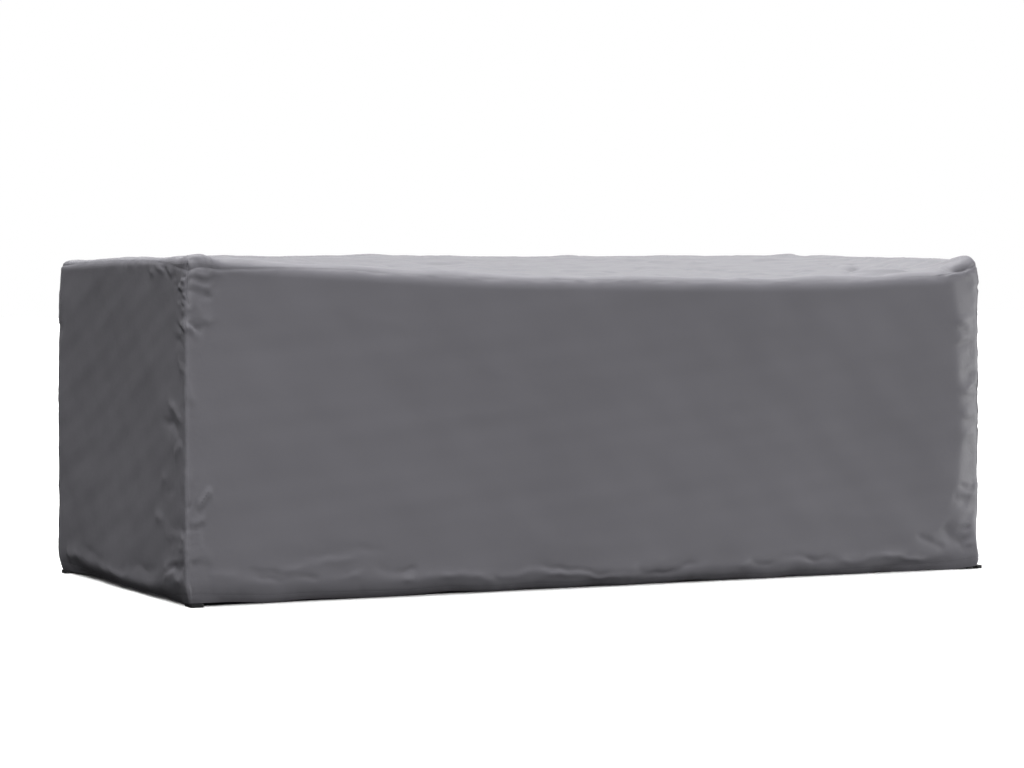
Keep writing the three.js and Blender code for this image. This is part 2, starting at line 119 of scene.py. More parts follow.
# (distance round, how deep the top seam lies in the cloth)
SEAM_DEPTH = [(0, 2.6), (110, 1.6), (200, 0.9), (300, 0.1), (2290, 0.0), (2330, 0.6), (2400, 1.2),
              (2500, 0.8), (2650, 0.3), (3330, 0.3), (3460, 2.0), (3600, 0.2), (5720, 0.2),
              (5860, 2.0), (6000, 0.3), (6600, 0.3), (6800, 0.8), (6920, 2.0)]

# Corner names and the radius of each upright edge below the top
CORNERS = {"near_left": (-1, -1, 9.0), "near_right": (1, -1, 14.0),
           "far_left": (-1, 1, 10.0), "far_right": (1, 1, 26.0)}

# At the slack near right corner the cloth leans back in one long facet: how far the corner goes
# out and back, how soft the facet's inner line is, and (height, width of the facet)
LEAN_OUT, LEAN_BACK, LEAN_SOFT = 24.0, 24.0, 5.0
LEAN_WIDTH = [(0, 60), (253, 60), (310, 55), (366, 50), (395, 42), (424, 48), (436, 50), (446, 33),
              (466, 41), (490, 50), (509, 45), (523, 35), (537, 45), (551, 54), (566, 60),
              (651, 64), (665, 70), (680, 54), (693, 60), (722, 60), (736, 45), (750, 51),
              (764, 60), (793, 67), (849, 80), (900, 84)]

# Soft pushes: centre x, y, h, push dx, dy, dz and reach
PUSHES = [
    # the ear on top of the near left corner, and the lump behind the near right one
    (-1162, -508, 900, 0, 0, 9, 34), (1200, -478, 900, 5, 0, 12, 34),
    (1148, -470, 900, 0, 0, 12, 42), (1200, -530, 900, 0, 0, -20, 36),
    # the far left corner bulges outwards, and both far corners stand up a little
    (-1200, 530, 40, -6, 0, 0, 150), (-1200, 530, 280, -6, 0, 0, 190),
    (-1200, 530, 540, -6, 0, 0, 190), (-1200, 530, 800, -6, 0, 0, 190),
    (-1165, 495, 900, 0, 0, 4, 40), (1165, 495, 900, 0, 0, 4, 40),
    # the near right corner at its foot and under its lump
    (1200, -530, 6, 14, -4, 0, 40), (1200, -530, 860, 7, 0, 0, 64),
    # the big panels hang in a little between their corners
    (-250, -530, 480, 0, 7, 0, 520), (700, -530, 420, 0, 8, 0, 420),
    (200, 530, 450, 0, -8, 0, 600), (-1200, 60, 480, 6, 0, 0, 330),
    (1200, 40, 470, -6, 0, 0, 330),
]


def along(table, at):
    """Smooth curve through the rows of a table: cubic pieces that start and end on the rows,
    each row's slope being that of the line between its two neighbours."""
    x, y = np.array(table, float).T
    rows = np.arange(len(x))
    before, after = np.maximum(rows - 1, 0), np.minimum(rows + 1, len(x) - 1)
    slope = (y[after] - y[before]) / (x[after] - x[before])
    t = np.clip(at, x[0], x[-1])
    i = np.clip(np.searchsorted(x, t, side="right") - 1, 0, len(x) - 2)
    span = x[i + 1] - x[i]
    s = (t - x[i]) / span
    return ((2 * s**3 - 3 * s**2 + 1) * y[i] + (s**3 - 2 * s**2 + s) * span * slope[i]
            + (3 * s**2 - 2 * s**3) * y[i + 1] + (s**3 - s**2) * span * slope[i + 1])


def smooth(low, high, t):
    """0 below low, 1 above high, and 3s^2 - 2s^3 between them."""
    s = np.clip((t - low) / (high - low), 0, 1)
    return s * s * (3 - 2 * s)


def unit(v):
    """Vectors scaled to a length of 1."""
    return v / np.linalg.norm(v, axis=-1, keepdims=True)


print("the front top edge hangs up to", max(drop for _, drop in FRONT_DROP), "mm low")

# %% [markdown]
# ## How the cloth hangs
#
# A place on the flat-sided box is taken to the hanging cover in a few steps. The top seam slips
# down over the edge, the edges are rounded, the top comes down by its drop, the hem curls in,
# and the lean of the near right corner and the soft pushes are added. One function does this
# for all five panels. Two panels that meet at a seam then meet exactly, which separate drawings
# of each side would never do.
#
# The first helpers say where a place is on the way round the cover, and how low the top hangs
# there. Loose cloth passes smoothly from one edge to the other, so the drops of the four top
# edges are blended over the top.

# %% Distances round the cover, and the drop of the top
def side_round(side, x, y):
    """Distance round the cover from the near left corner, for a place on that side."""
    return {"front": x + HALF_L, "right": LENGTH + y + HALF_W,
            "back": LENGTH + WIDTH + HALF_L - x, "left": 2 * LENGTH + WIDTH + HALF_W - y}[side]


def two_rounds(x, y):
    """The same distance, measured on the nearer long side and on the nearer end."""
    on_long = np.where(y < 0, side_round("front", x, y), side_round("back", x, y))
    on_end = np.where(x < 0, side_round("left", x, y), side_round("right", x, y))
    return on_long, on_end


def levelled(c, half):
    """The coordinate c, from -half to half, drawn out towards the edges: a distance d from the
    edge becomes d^2 (1 + k/half) / (d + k), with k = EDGE_LEVEL."""
    d = np.clip(half - np.abs(c), 0, half)
    return np.sign(c) * (half - d * d * (1 + EDGE_LEVEL / half) / (d + EDGE_LEVEL))


def top_drop(x, y):
    """The four edge drops blended over the top: each fades inwards, the front one as the power
    FRONT_PULL and the ends as the cube, and a shallow hollow lies between them."""
    u = 0.5 + levelled(x, HALF_L) / LENGTH
    v = 0.5 - levelled(y, HALF_W) / WIDTH
    front, left, right = v**FRONT_PULL, (1 - u)**3, u**3
    back = 1 - front
    corners = (back * (left * BACK_DROP[0][1] + right * BACK_DROP[-1][1])
               + front * (left * FRONT_DROP[0][1] + right * FRONT_DROP[-1][1]))
    return (back * along(BACK_DROP, x) + front * along(FRONT_DROP, x)
            + left * along(LEFT_DROP, y) + right * along(RIGHT_DROP, y) - corners
            + TOP_HOLLOW * np.sin(np.pi * u)**0.5 * np.sin(np.pi * v))


print("the middle of the top hangs", round(float(top_drop(0.0, 0.0)), 1), "mm low")

# %% [markdown]
# ## Rounded edges and a seam that slips
#
# Cloth doesn't turn a sharp edge, so every edge is rounded, each by its own radius. The seam
# between the top and a side isn't always on the edge: where the cover is pulled down, it lies a
# few centimetres below it. Moving the seam's line alone would leave the cloth beside it where it
# was, so all places near it slide along with it, less and less with the distance.

# %% Rounded edges and the slipping seam
# Along the front: where its top edge goes over to the slack radius, and where it goes back
SLACK_FROM, SLACK_TO = (-1185, -1000), (1130, 1195)
FOOT_TO_POST = (40, 170)    # heights where an upright edge goes over to its own radius
POST_TO_TOP = (HEIGHT - 200, HEIGHT - 30)   # and from that to the radius of the top edge
SLIP_ON_TOP, SLIP_ON_SIDE = 60, 260     # how far from the edge the cloth slides along


def rounded(x, y, z):
    """Box with rounded edges: the place is pulled onto an ellipsoid about the nearest point of a
    smaller box. Its radii are the upright edge's twice and the top edge's, which is larger along
    the slack front. Gives the place and the way out."""
    post = np.select([(x < 0) & (y < 0), (x >= 0) & (y < 0), (x < 0) & (y >= 0)],
                     [CORNERS[c][2] for c in ("near_left", "near_right", "far_left")],
                     CORNERS["far_right"][2])
    slack = smooth(*SLACK_FROM, x) * (1 - smooth(*SLACK_TO, x)) * (y < 0)
    top = EDGE_RADIUS + (SLACK_RADIUS - EDGE_RADIUS) * slack
    post = FOOT_RADIUS + (post - FOOT_RADIUS) * smooth(*FOOT_TO_POST, z)
    r = post + (top - post) * smooth(*POST_TO_TOP, z)
    core = np.stack([np.clip(x, r - HALF_L, HALF_L - r), np.clip(y, r - HALF_W, HALF_W - r),
                     np.minimum(z, HEIGHT - top)], -1)
    radii = np.stack([r, r, top], -1)
    out = unit((np.stack([x, y, z], -1) - core) / radii)
    return core + out * radii, out


def slipped(x, y, h, on_long, slip):
    """The place after the top seam has slipped down over the edge. A place on the top slides
    outwards, and what goes past the edge goes down. A place on a side goes straight down."""
    to_end, to_long = HALF_L - np.abs(x), HALF_W - np.abs(y)
    past_end = (1 - on_long) * slip * (1 - smooth(0, SLIP_ON_TOP, to_end)) - to_end
    past_long = on_long * slip * (1 - smooth(0, SLIP_ON_TOP, to_long)) - to_long
    over = np.maximum(0, np.maximum(past_end, past_long))
    top = [np.sign(x) * (HALF_L + np.minimum(0, past_end)),
           np.sign(y) * (HALF_W + np.minimum(0, past_long)), HEIGHT - over]
    side = [x, y, h - slip * (1 - smooth(0, SLIP_ON_SIDE, HEIGHT - h))]
    return [np.where(h >= HEIGHT, a, b) for a, b in zip(top, side)]


print("the top seam slips down by up to", max(slip for _, slip in SEAM_SLIP), "mm")

# %% [markdown]
# ## The hem, the leaning corner and the whole hanging cover
#
# A stiff hem curls in at the ground. It is drawn as a piece of a circle, which turns by the
# angle in the table. At the near right corner the cover is too wide for what is under it, so
# the cloth leans back in one long flat facet. The facet's inner line wanders, which is what
# makes it look like cloth.
#
# The function at the end puts all the steps together. It also gives the way out of the cloth at
# each place. Folds are raised that way.

# %% The hem and the whole hanging cover
LEAN_STARTS = (50, 190)     # heights between which the corner begins to lean


def hem_at(place):
    """Turn, radius and start of the hem: it curls on a circle whose arc is HEM_LENGTH."""
    turn = np.radians(along(HEM_TURN, place))
    radius = HEM_LENGTH / turn
    start = along(HEM_CLEAR, place) + radius * np.sin(np.minimum(turn, np.pi / 2))
    return turn, radius, start


def hang(x, y, h):
    """Place of the cloth, in mm, and its way out there, for places on the flat-sided box. The
    height is stretched between the start of the hem and the dropped top, and below HEM_LENGTH
    the place follows the hem's circle. Each push is its vector times e^(-(distance/reach)^2)."""
    x, y, h = np.broadcast_arrays(*(np.asarray(c, float) for c in (x, y, h)))
    to_end, to_long = HALF_L - np.abs(x), HALF_W - np.abs(y)
    on_long = np.where(to_end + to_long > 0, to_end / np.maximum(to_end + to_long, 1e-9), 1.0)
    round_long, round_end = two_rounds(x, y)
    slip = on_long * along(SEAM_SLIP, round_long) + (1 - on_long) * along(SEAM_SLIP, round_end)
    flat, out = rounded(*slipped(x, y, h, on_long, slip))
    turns = {}
    for name, place in (("long", round_long), ("end", round_end)):
        turn, radius, start = hem_at(place)
        angle = turn * np.maximum(0, HEM_LENGTH - flat[..., 2]) / HEM_LENGTH
        turns[name] = angle, radius * (1 - np.cos(angle)), radius * np.sin(angle), start
    angle, _, down, start = (on_long * a + (1 - on_long) * b
                             for a, b in zip(turns["long"], turns["end"]))
    top = HEIGHT - top_drop(x, y)
    stretch = (top - start) / (HEIGHT - HEM_LENGTH)
    z = np.where(flat[..., 2] > HEM_LENGTH, top - (HEIGHT - flat[..., 2]) * stretch, start - down)
    spot = np.stack([flat[..., 0] * (1 - turns["end"][1] / HALF_L),
                     flat[..., 1] * (1 - turns["long"][1] / HALF_W), z], -1)
    from_corner = np.hypot(HALF_L - x, y + HALF_W)
    width = along(LEAN_WIDTH, h)
    lean = np.logaddexp(0, (width - from_corner) / LEAN_SOFT) * LEAN_SOFT / width
    lean = lean * smooth(*LEAN_STARTS, h)
    spot += lean[..., None] * np.array([LEAN_OUT, LEAN_BACK, 0.0])
    for cx, cy, ch, dx, dy, dz, reach in PUSHES:
        far = ((x - cx)**2 + (y - cy)**2 + (h - ch)**2) / reach**2
        spot += np.exp(-far)[..., None] * np.array([dx, dy, dz], float)
    way = np.stack([out[..., 0] * np.cos(angle), out[..., 1] * np.cos(angle),
                    out[..., 2] - np.sin(angle)], -1)
    return spot, unit(way)


spot, way = hang([-1200.0, 1200.0, 0.0], [-530.0, -530.0, -530.0], [900.0, 900.0, 0.0])
print("near top corners and mid hem, mm:", spot.round(1).tolist())

# %% [markdown]
# ## Folds
#
# Coated cloth is stiff, so its folds are few, long and shallow, with short sharp puckers where
# a seam gathers it. A cloth simulation would put folds somewhere else on each try. Here each
# main fold is a row of a table, in its own place: a ridge, or a trough where the height is
# negative, along a run from one place to another. The run is straight or bows in an arc.
#
# The runs are then bent a little more: the places are shaken by a slow wave before the distance
# to each run is measured. That turns drawn lines into the slightly wandering lines of cloth.

# %% Smooth and creased unevenness
CREST_BEND = 0.7       # radians by which the crests of crumpled cloth are bent
CREST_ROUND = 0.02     # how much those crests are rounded
SLOW_WANDER, QUICK_WANDER = (190, 7), (55, 2.2)     # size and strength, mm


def waves(spots, size, seed, count=7):
    """Smooth noise: a sum of cosines about one size long, 0.75 to 1.4 of it, in random
    directions, with a mean of 0 and a spread of about 1."""
    rng = np.random.default_rng(seed)
    total = np.zeros(spots.shape[:-1])
    for _ in range(count):
        heading = rng.normal(size=3)
        heading *= 2 * np.pi / (size * rng.uniform(0.75, 1.4) * np.linalg.norm(heading))
        total += np.cos(spots @ heading + rng.uniform(0, 2 * np.pi))
    return total * math.sqrt(2 / count)


def crumple(spots, size, seed, count=5):
    """Creased noise: the mean of a few waves 1 - |sine| in random directions, each of them up
    or down. Their crests are sharp and 0.8 to 1.5 sizes apart. Each sine is bent by smooth
    noise, so that no two crests run alike."""
    rng = np.random.default_rng(seed)
    bend = waves(spots, 2.2 * size, seed + 1)
    total = np.zeros(spots.shape[:-1])
    for _ in range(count):
        heading = rng.normal(size=3)
        heading *= np.pi / (size * rng.uniform(0.8, 1.5) * np.linalg.norm(heading))
        sine = np.sin(spots @ heading + CREST_BEND * bend + rng.uniform(0, 2 * np.pi))
        total += rng.choice((-1, 1)) * (1 - np.sqrt(sine**2 + CREST_ROUND))
    return total / count


def shaken(spots):
    """The places moved about by slow noise and, less far, by quicker noise."""
    slow = np.stack([waves(spots, SLOW_WANDER[0], 11 + k) for k in range(3)], -1)
    quick = np.stack([waves(spots, QUICK_WANDER[0], 21 + k) for k in range(3)], -1)
    return spots + SLOW_WANDER[1] * slow + QUICK_WANDER[1] * quick


scattered = np.random.default_rng(1).normal(size=(999, 3)) * 500
print("noise spread:", round(float(waves(scattered, 80, 3).std()), 2))

# %% Tools for folds
CREASE_REACH = 5       # widths from its run where a crease is too faint to count
CREST_SHARE, CREST_LEAST = 0.4, 1.8     # rounding of a crest: share of its width, least mm


def creases(spots, rows):
    """Sum of creases. Each is height * e^(-distance/width) about its run, with its crest
    rounded off. The run is an arc: its middle is moved by bow. fade 0 dies away at both ends
    alike, and fade 1 only towards its end."""
    total = np.zeros(spots.shape[:-1])
    for start, end, bow, width, height, fade in rows:
        reach = CREASE_REACH * width + np.abs(bow)
        low, high = np.minimum(start, end) - reach, np.maximum(start, end) + reach
        near = np.all((spots > low) & (spots < high), axis=-1)
        if not near.any():
            continue
        p, run = spots[near] - start, end - start
        held = np.clip(p @ run / (run @ run), 0, 1)[:, None]
        far = np.linalg.norm(p - held * run - 4 * held * (1 - held) * bow, axis=-1)
        held = held[:, 0]
        crest = max(CREST_SHARE * width, CREST_LEAST)
        shape = np.exp(-(np.sqrt(far**2 + crest**2) - crest) / width)
        both = 1 - (2 * held - 1)**4
        one = (1 - held)**0.8
        total[near] += height * shape * ((1 - fade) * both + fade * one)
    return total


# Takes two numbers on a side to its place on the box
ON = {"front": lambda a, b: (a, -HALF_W, b), "back": lambda a, b: (a, HALF_W, b),
      "left": lambda a, b: (-HALF_L, a, b), "right": lambda a, b: (HALF_L, a, b),
      "top": lambda a, b: (a, b, HEIGHT)}


def placed(side, rows):
    """Rows (a, b, a2, b2, width, height, fade) of one side, with their ends on the box. A
    number more is how far the run bows to its left at its middle."""
    made = []
    for a, b, a2, b2, width, height, fade, *bow in rows:
        start, end = np.array(ON[side](a, b), float), np.array(ON[side](a2, b2), float)
        left = np.array(ON[side](a - (b2 - b), b + (a2 - a)), float) - start
        bend = (bow[0] if bow else 0.0) * left / np.linalg.norm(left)
        made.append((start, end, bend, width, height, fade))
    return made


start, end = placed("front", [(-100, 400, 100, 400, 8, 5, 0)])[0][:2]
print("a fold on the front runs from", start.tolist(), "to", end.tolist())

# %% [markdown]
# ## The folds of this cover
#
# The rows below are read as from, to, width, height and fade, and some have a bow after that.
# On the sides the places are x or y and the height on the flat cloth, and on the top they are x
# and y. The near left corner has a fan of ridges that the seam's tension pulls down the front,
# the hem has long lips where it turns in, and thin creases cross the leaning facet of the near
# right corner. The seam slips down over the edge, so a fold of the upper corners lies a few
# centimetres lower on the finished cover than its row says. The far side can't be seen in any
# picture of the front, so its folds are made in the same manner and are a little plainer.

# %% The main folds, side by side
FOLDS = {
    "front": [
        # the fan below the near left corner
        (-1192, 887, -1092, 890, 8, 6.7, 0.5), (-1194, 875, -1126, 872, 5, -5.1, 0.5),
        (-1195, 865, -1134, 845, 9, 7.0, 0.3, 3), (-1198, 842, -1126, 810, 5, -7.0, 0.2, 8),
        (-1192, 832, -1130, 794, 5, 6.1, 0.3, 3), (-1194, 819, -1168, 801, 4, -5.1, 0),
        (-1190, 812, -1128, 736, 11, 8.8, 0.2, 8), (-1196, 802, -1172, 775, 4, -5.8, 0),
        (-1195, 785, -1144, 747, 6, 5.4, 0.3, 3), (-1192, 739, -1152, 713, 7, -7.4, 0, 2),
        (-1200, 729, -1146, 671, 8, 8.0, 0.3, 4), (-1192, 682, -1154, 645, 8, 5.4, 0.5),
        (-1188, 702, -1162, 668, 6, -4.2, 0), (-1138, 840, -1104, 824, 8, 3.5, 0),
        (-1192, 635, -1158, 489, 10, 4.5, 1), (-1176, 264, -1126, 296, 7, 6.6, 0),
        (-1172, 252, -1130, 278, 6, -4.6, 0), (-1198, 221, -1146, 238, 6, 6.6, 0.3),
        (-1198, 209, -1140, 216, 6, -5.0, 0.5), (-1198, 183, -1158, 197, 6, 5.6, 0.3),
        (-1192, 158, -1144, 177, 7, 6.0, 0.3), (-1194, 170, -1158, 185, 6, -4.4, 0),
        (-1197, 131, -1142, 156, 7, 6.0, 0.3), (-1192, 144, -1154, 160, 6, -4.6, 0),
        (-1192, 109, -1114, 133, 8, 5.4, 0.3), (-1188, 96, -1126, 109, 7, -4.4, 0),
        # the hem
        (-1140, 78, -1052, 80, 7.5, 5.5, 0, 3), (-1080, 92, -912, 92, 5.4, -2.9, 0),
        (-1039, 80, -904, 79, 5.4, -4.2, 0, -3), (-904, 80, -829, 72, 5.4, -3.7, 0),
        (-960, 98, -700, 112, 6.8, 3.6, 0, 6), (-900, 122, -640, 128, 8.2, -2.2, 0, 5),
        (-666, 86, -557, 85, 6.1, -4.2, 0), (-810, 64, -515, 52, 6.1, 5.1, 0, 3),
        (-606, 60, -325, 48, 6.1, 5.5, 0, 3), (-320, 62, -65, 52, 6.1, 5.5, 0, 2),
        (-125, 60, 115, 48, 6.1, 4.2, 0, 2), (-215, 74, 14, 66, 5.4, -4.2, 0, 2),
        (100, 64, 300, 59, 6.1, -4.8, 0), (70, 64, 196, 98, 5.4, 4.6, 0, 5),
        (418, 44, 452, 86, 5, 4.2, 0), (440, 75, 765, 61, 6.1, -5.6, 0, -2),
        (740, 58, 1110, 45, 6.1, 5.8, 0, 2), (985, 112, 1106, 60, 6.1, -5.5, 0, 4),
        (1040, 116, 1120, 82, 5.4, 3.4, 0), (1090, 142, 1190, 56, 20, -7.0, 0),
        # thin creases down the leaning near right corner
        (1175, 839, 1187, 842, 4, -4.8, 0), (1187, 842, 1199, 825, 4, -4.8, 0),
        (1148, 806, 1188, 829, 8, 2.8, 0), (1184, 799, 1184, 702, 5, -2.1, 0),
        (1146, 765, 1176, 714, 10, 2.8, 0), (1137, 745, 1162, 704, 5, -2.4, 0),
        (1198, 678, 1175, 687, 3.5, -5.1, 0), (1175, 687, 1177, 676, 3.5, -4.5, 0),
        (1173, 675, 1150, 665, 4, -4.8, 0, 2), (1168, 662, 1194, 660, 9, 3.0, 0),
        (1146, 718, 1165, 685, 8, 2.0, 0), (1154, 627, 1181, 619, 4, -4.5, 0),
        (1160, 614, 1192, 595, 11, 2.8, 0), (1134, 583, 1192, 567, 8, -3.0, 0, -3),
        (1166, 562, 1196, 553, 8, 2.2, 0), (1172, 540, 1188, 534, 3.5, -3.6, 0),
        (1168, 529, 1188, 524, 6, 4.2, 0), (1170, 519, 1196, 502, 4, -6.9, 0),
        (1168, 505, 1192, 493, 6, 4.0, 0), (1147, 520, 1166, 494, 5, -3.9, 0),
        (1164, 497, 1182, 476, 5, -6.9, 0), (1180, 477, 1199, 462, 4.5, -6.6, 0),
        (1156, 478, 1192, 458, 8, 3.2, 0), (1174, 454, 1192, 438, 4, -3.9, 0),
        (1152, 457, 1168, 424, 5, -3.9, 0, -2), (1166, 427, 1188, 406, 4.5, -6.9, 0),
        (1186, 407, 1199, 398, 4.5, -5.4, 0), (1172, 439, 1192, 411, 7, 4.0, 0),
        (1160, 399, 1192, 375, 10, 2.5, 0), (1191, 230, 1138, 253, 4, -3.6, 0),
        (1191, 244, 1142, 268, 7, 2.0, 0), (1194, 214, 1150, 228, 8, 3.8, 0.5),
        (1176, 194, 1112, 218, 14, -3.8, 0), (1194, 165, 1148, 185, 7, 3.0, 0.5),
        (1194, 140, 1140, 152, 7, 4.0, 0.5), (1190, 128, 1150, 132, 5, -4.2, 0),
        (1196, 116, 1158, 112, 6, 4.0, 0.5), (1196, 92, 1160, 98, 6, -3.5, 0),
        (1196, 76, 1166, 70, 7, 3.8, 0.5),
        # faint streaks of the big panel
        (-374, 626, -197, 628, 16, 0.6, 0), (-491, 511, -256, 512, 18, 0.7, 0),
        (355, 537, 482, 535, 14, 0.6, 0), (610, 683, 773, 679, 16, 0.6, 0),
        (610, 300, 773, 294, 16, 0.6, 0), (-950, 780, -420, 742, 34, 1.2, 0),
        (880, 760, 330, 744, 40, 1.0, 0), (-1040, 180, -620, 128, 36, 1.4, 0),
        (-260, 150, 240, 132, 34, 1.2, 0), (520, 170, 980, 214, 34, 1.4, 0),
    ],
    "left": [
        (-489, 877, -530, 872, 5, 4.3, 0), (-502, 887, -530, 886, 4, -2.9, 0),
        (-476, 860, -530, 841, 5, 4.6, 0), (-469, 843, -508, 833, 5, -3.1, 0),
        (-508, 827, -534, 795, 5, 4.3, 0), (-482, 817, -522, 793, 5, -3.1, 0),
        (-482, 806, -530, 750, 5, 4.9, 0), (-469, 795, -530, 742, 4.5, -3.3, 0),
        (-472, 770, -530, 711, 6, 5.9, 0), (-466, 743, -522, 707, 5, -3.3, 0),
        (-455, 717, -502, 702, 6, 2.7, 0), (-440, 855, -482, 862, 6, -2.2, 1),
        (-452, 690, -520, 664, 8, -1.5, 0), (-460, 636, -524, 604, 8, 2.7, 0),
        (-372, 519, -527, 461, 10, 5.2, 0, 4), (-340, 470, -520, 432, 9, -4.0, 0),
        (-449, 390, -527, 410, 8, 3.8, 0), (-411, 300, -460, 304, 6, -4.4, 0),
        (-488, 260, -527, 262, 6, -4.2, 0), (-364, 182, -530, 158, 9, 5.4, 0, -5),
        (-400, 206, -527, 188, 8, -3.6, 0), (-395, 135, -530, 132, 8, 3.6, 0, -5),
        (-300, 240, -380, 228, 10, 3.0, 0), (-330, 340, -420, 336, 10, 2.2, 0),
        (-291, 893, -356, 882, 9, 5.0, 0.3), (-370, 893, -420, 890, 9, 5.4, 0.3),
        (-331, 893, -395, 882, 8, -4.6, 0.3), (-250, 885, -317, 855, 9, 3.6, 1),
        (-424, 893, -452, 884, 8, -4.0, 0), (-392, 878, -430, 865, 7, -2.6, 1),
        (524, 730, 470, 700, 14, -4.0, 0),
        (-334, 92, -457, 72, 9, 4.0, 0, 3), (-372, 78, -530, 96, 9, -5.0, 0.2),
        (-372, 98, -530, 116, 7, 2.6, 0.3), (-430, 56, -530, 70, 8, 3.6, 0),
        (-333, 54, -457, 76, 8, 4.0, 0), (-330, 104, -60, 96, 14, -2.2, 0),
        (-80, 74, 180, 64, 12, 2.6, 0), (120, 96, 360, 84, 14, -2.2, 0),
        (330, 66, 470, 58, 11, 3.0, 0), (-300, 640, 120, 612, 44, 1.0, 0),
        (160, 330, 420, 250, 40, 1.2, 0), (-250, 250, 60, 238, 36, 0.9, 0),
    ],
    "right": [
        (-527, 838, -440, 826, 8, 2.8, 1), (-527, 800, -452, 758, 9, 3.2, 1),
        (-527, 742, -470, 694, 8, 2.6, 1), (-527, 640, -476, 604, 8, 2.4, 1),
        (-527, 536, -452, 486, 10, 3.0, 1), (-527, 436, -470, 402, 8, 2.4, 1),
        (-527, 236, -440, 258, 10, 3.4, 1), (-527, 150, -444, 166, 9, 2.8, 1),
        (527, 826, 452, 804, 9, 2.8, 1), (527, 742, 468, 700, 8, 2.4, 1),
        (527, 610, 480, 570, 8, 2.0, 1), (527, 330, 462, 300, 9, 2.4, 1),
        (-420, 84, -180, 74, 11, 4.0, 0), (-220, 62, 60, 52, 10, 3.6, 0),
        (20, 86, 250, 80, 10, -3.2, 0), (200, 64, 430, 58, 10, 3.8, 0),
        (-340, 430, 140, 380, 46, 1.6, 0), (-200, 700, 260, 660, 44, 1.4, 0),
        (-420, 170, 60, 200, 40, 1.6, 0), (60, 560, 400, 480, 42, 1.3, 0),
    ],
    "back": [
        (1196, 846, 1110, 838, 8, 2.6, 1), (1196, 812, 1118, 778, 8, 2.6, 1),
        (1196, 752, 1136, 706, 8, 2.4, 1), (1196, 660, 1144, 618, 8, 2.2, 1),
        (1196, 250, 1120, 282, 9, 2.6, 1), (-1196, 842, -1104, 836, 8, 2.6, 1),
        (-1196, 806, -1126, 764, 8, 2.8, 1), (-1196, 744, -1140, 694, 8, 2.4, 1),
        (-1196, 640, -1150, 590, 8, 2.0, 1), (-1196, 236, -1112, 262, 9, 2.8, 1),
        (-1080, 84, -760, 74, 10, 3.8, 0), (-800, 60, -470, 52, 10, 4.2, 0),
        (-520, 82, -240, 76, 9, -3.2, 0), (-260, 62, 80, 52, 10, 4.0, 0),
        (40, 84, 330, 78, 9, -3.0, 0), (280, 64, 600, 54, 10, 4.2, 0),
        (560, 86, 820, 80, 9, -3.2, 0), (790, 66, 1090, 60, 10, 4.0, 0),
        (-900, 690, -280, 640, 46, 1.8, 0), (260, 730, 860, 690, 46, 1.6, 0),
        (-640, 420, 120, 372, 50, 1.8, 0), (240, 350, 900, 402, 48, 1.8, 0),
        (-1040, 210, -480, 250, 44, 1.6, 0), (380, 196, 980, 160, 42, 1.6, 0),
    ],
    "top": [
        # the ear of the near left corner, its pocket and its lip
        (-1192, -517, -1160, -521, 8, -5.0, 0), (-1196, -529, -1158, -529, 5, 3.6, 0),
        (-1141, -527, -1140, -496, 4.5, 7.0, 0), (-1153, -524, -1151, -500, 6, -4.0, 0),
        (-1124, -522, -1119, -498, 7, 3.0, 0), (-1110, -526, -1108, -496, 6, -2.0, 0),
        (-1080, -528, -1030, -522, 6, 1.6, 0), (-1190, -498, -1166, -478, 8, -3.0, 0),
        # the crease under the lump of the near right corner
        (1118, -476, 1130, -512, 5, -7.5, 0, 3), (1129, -511, 1162, -519, 5, -8.2, 0, -2),
        (1160, -519, 1197, -512, 4.5, -7.5, 0, -2), (1163, -501, 1173, -494, 4, -3.0, 0),
        (1120, -524, 1172, -528, 6, 2.6, 0), (1092, -524, 1084, -490, 8, 3.0, 0.3),
        # small pleats on the slack front edge
        (-142, -528, -136, -428, 12, 1.8, 1), (-74, -528, -70, -420, 12, 2.0, 1),
        (-7, -528, -2, -410, 12, 1.8, 1), (-106, -528, -104, -440, 10, -1.2, 1),
        (-40, -528, -38, -430, 10, -1.2, 1), (300, -528, 318, -440, 12, 1.4, 1),
        # long creases towards the right end
        (967, 71, 727, -334, 14, 9.0, 0, 20), (1076, -38, 827, -443, 12, -9.0, 0, 14),
        (1150, -120, 1010, -410, 12, 9.0, 0), (1040, 60, 930, -180, 12, -8.0, 0),
        (720, 244, 430, -300, 20, 8.0, 0, -30), (455, -116, 600, -112, 14, -7.0, 0),
        (380, 246, 690, 180, 20, 6.0, 0), (1000, -470, 860, -380, 11, 8.0, 0, 10),
        (930, -500, 830, -440, 10, -6.0, 0), (820, -470, 700, -330, 12, 8.0, 0, -12),
        (860, -300, 740, -120, 13, -8.0, 0), (640, -480, 520, -300, 15, 7.0, 0, 14),
        (600, -360, 380, -260, 15, -7.0, 0), (480, -500, 330, -380, 13, 5.6, 0),
        # long creases towards the left end
        (-400, -193, 5, 148, 22, 6.0, 0, 30), (-264, 113, -113, -101, 17, -6.0, 0),
        (-763, -216, -593, 211, 20, 6.0, 0), (-658, -315, -334, 95, 18, -6.0, 0, -24),
        (-1120, -300, -820, -120, 18, 5.0, 0, 16), (-1100, 180, -760, 60, 20, 4.4, 0),
        (-560, -470, -300, -380, 15, 5.0, 0, 12), (-300, -440, -40, -330, 17, -5.0, 0),
        (60, -470, 260, -350, 15, 5.0, 0, -10), (-60, -260, 240, -160, 19, 5.6, 0, 18),
        (160, -240, 380, -40, 19, -5.6, 0), (-860, -440, -640, -400, 14, 4.0, 0),
        # from the corners inwards
        (-1150, -490, -960, -400, 15, 5.0, 1), (-1140, -470, -1000, -330, 15, -4.0, 1),
        (1150, -490, 990, -420, 15, 5.0, 1), (1150, -478, 1040, -330, 15, -4.0, 1),
        (-1150, 490, -930, 420, 15, 4.6, 1), (-1140, 470, -1010, 340, 15, -4.0, 1),
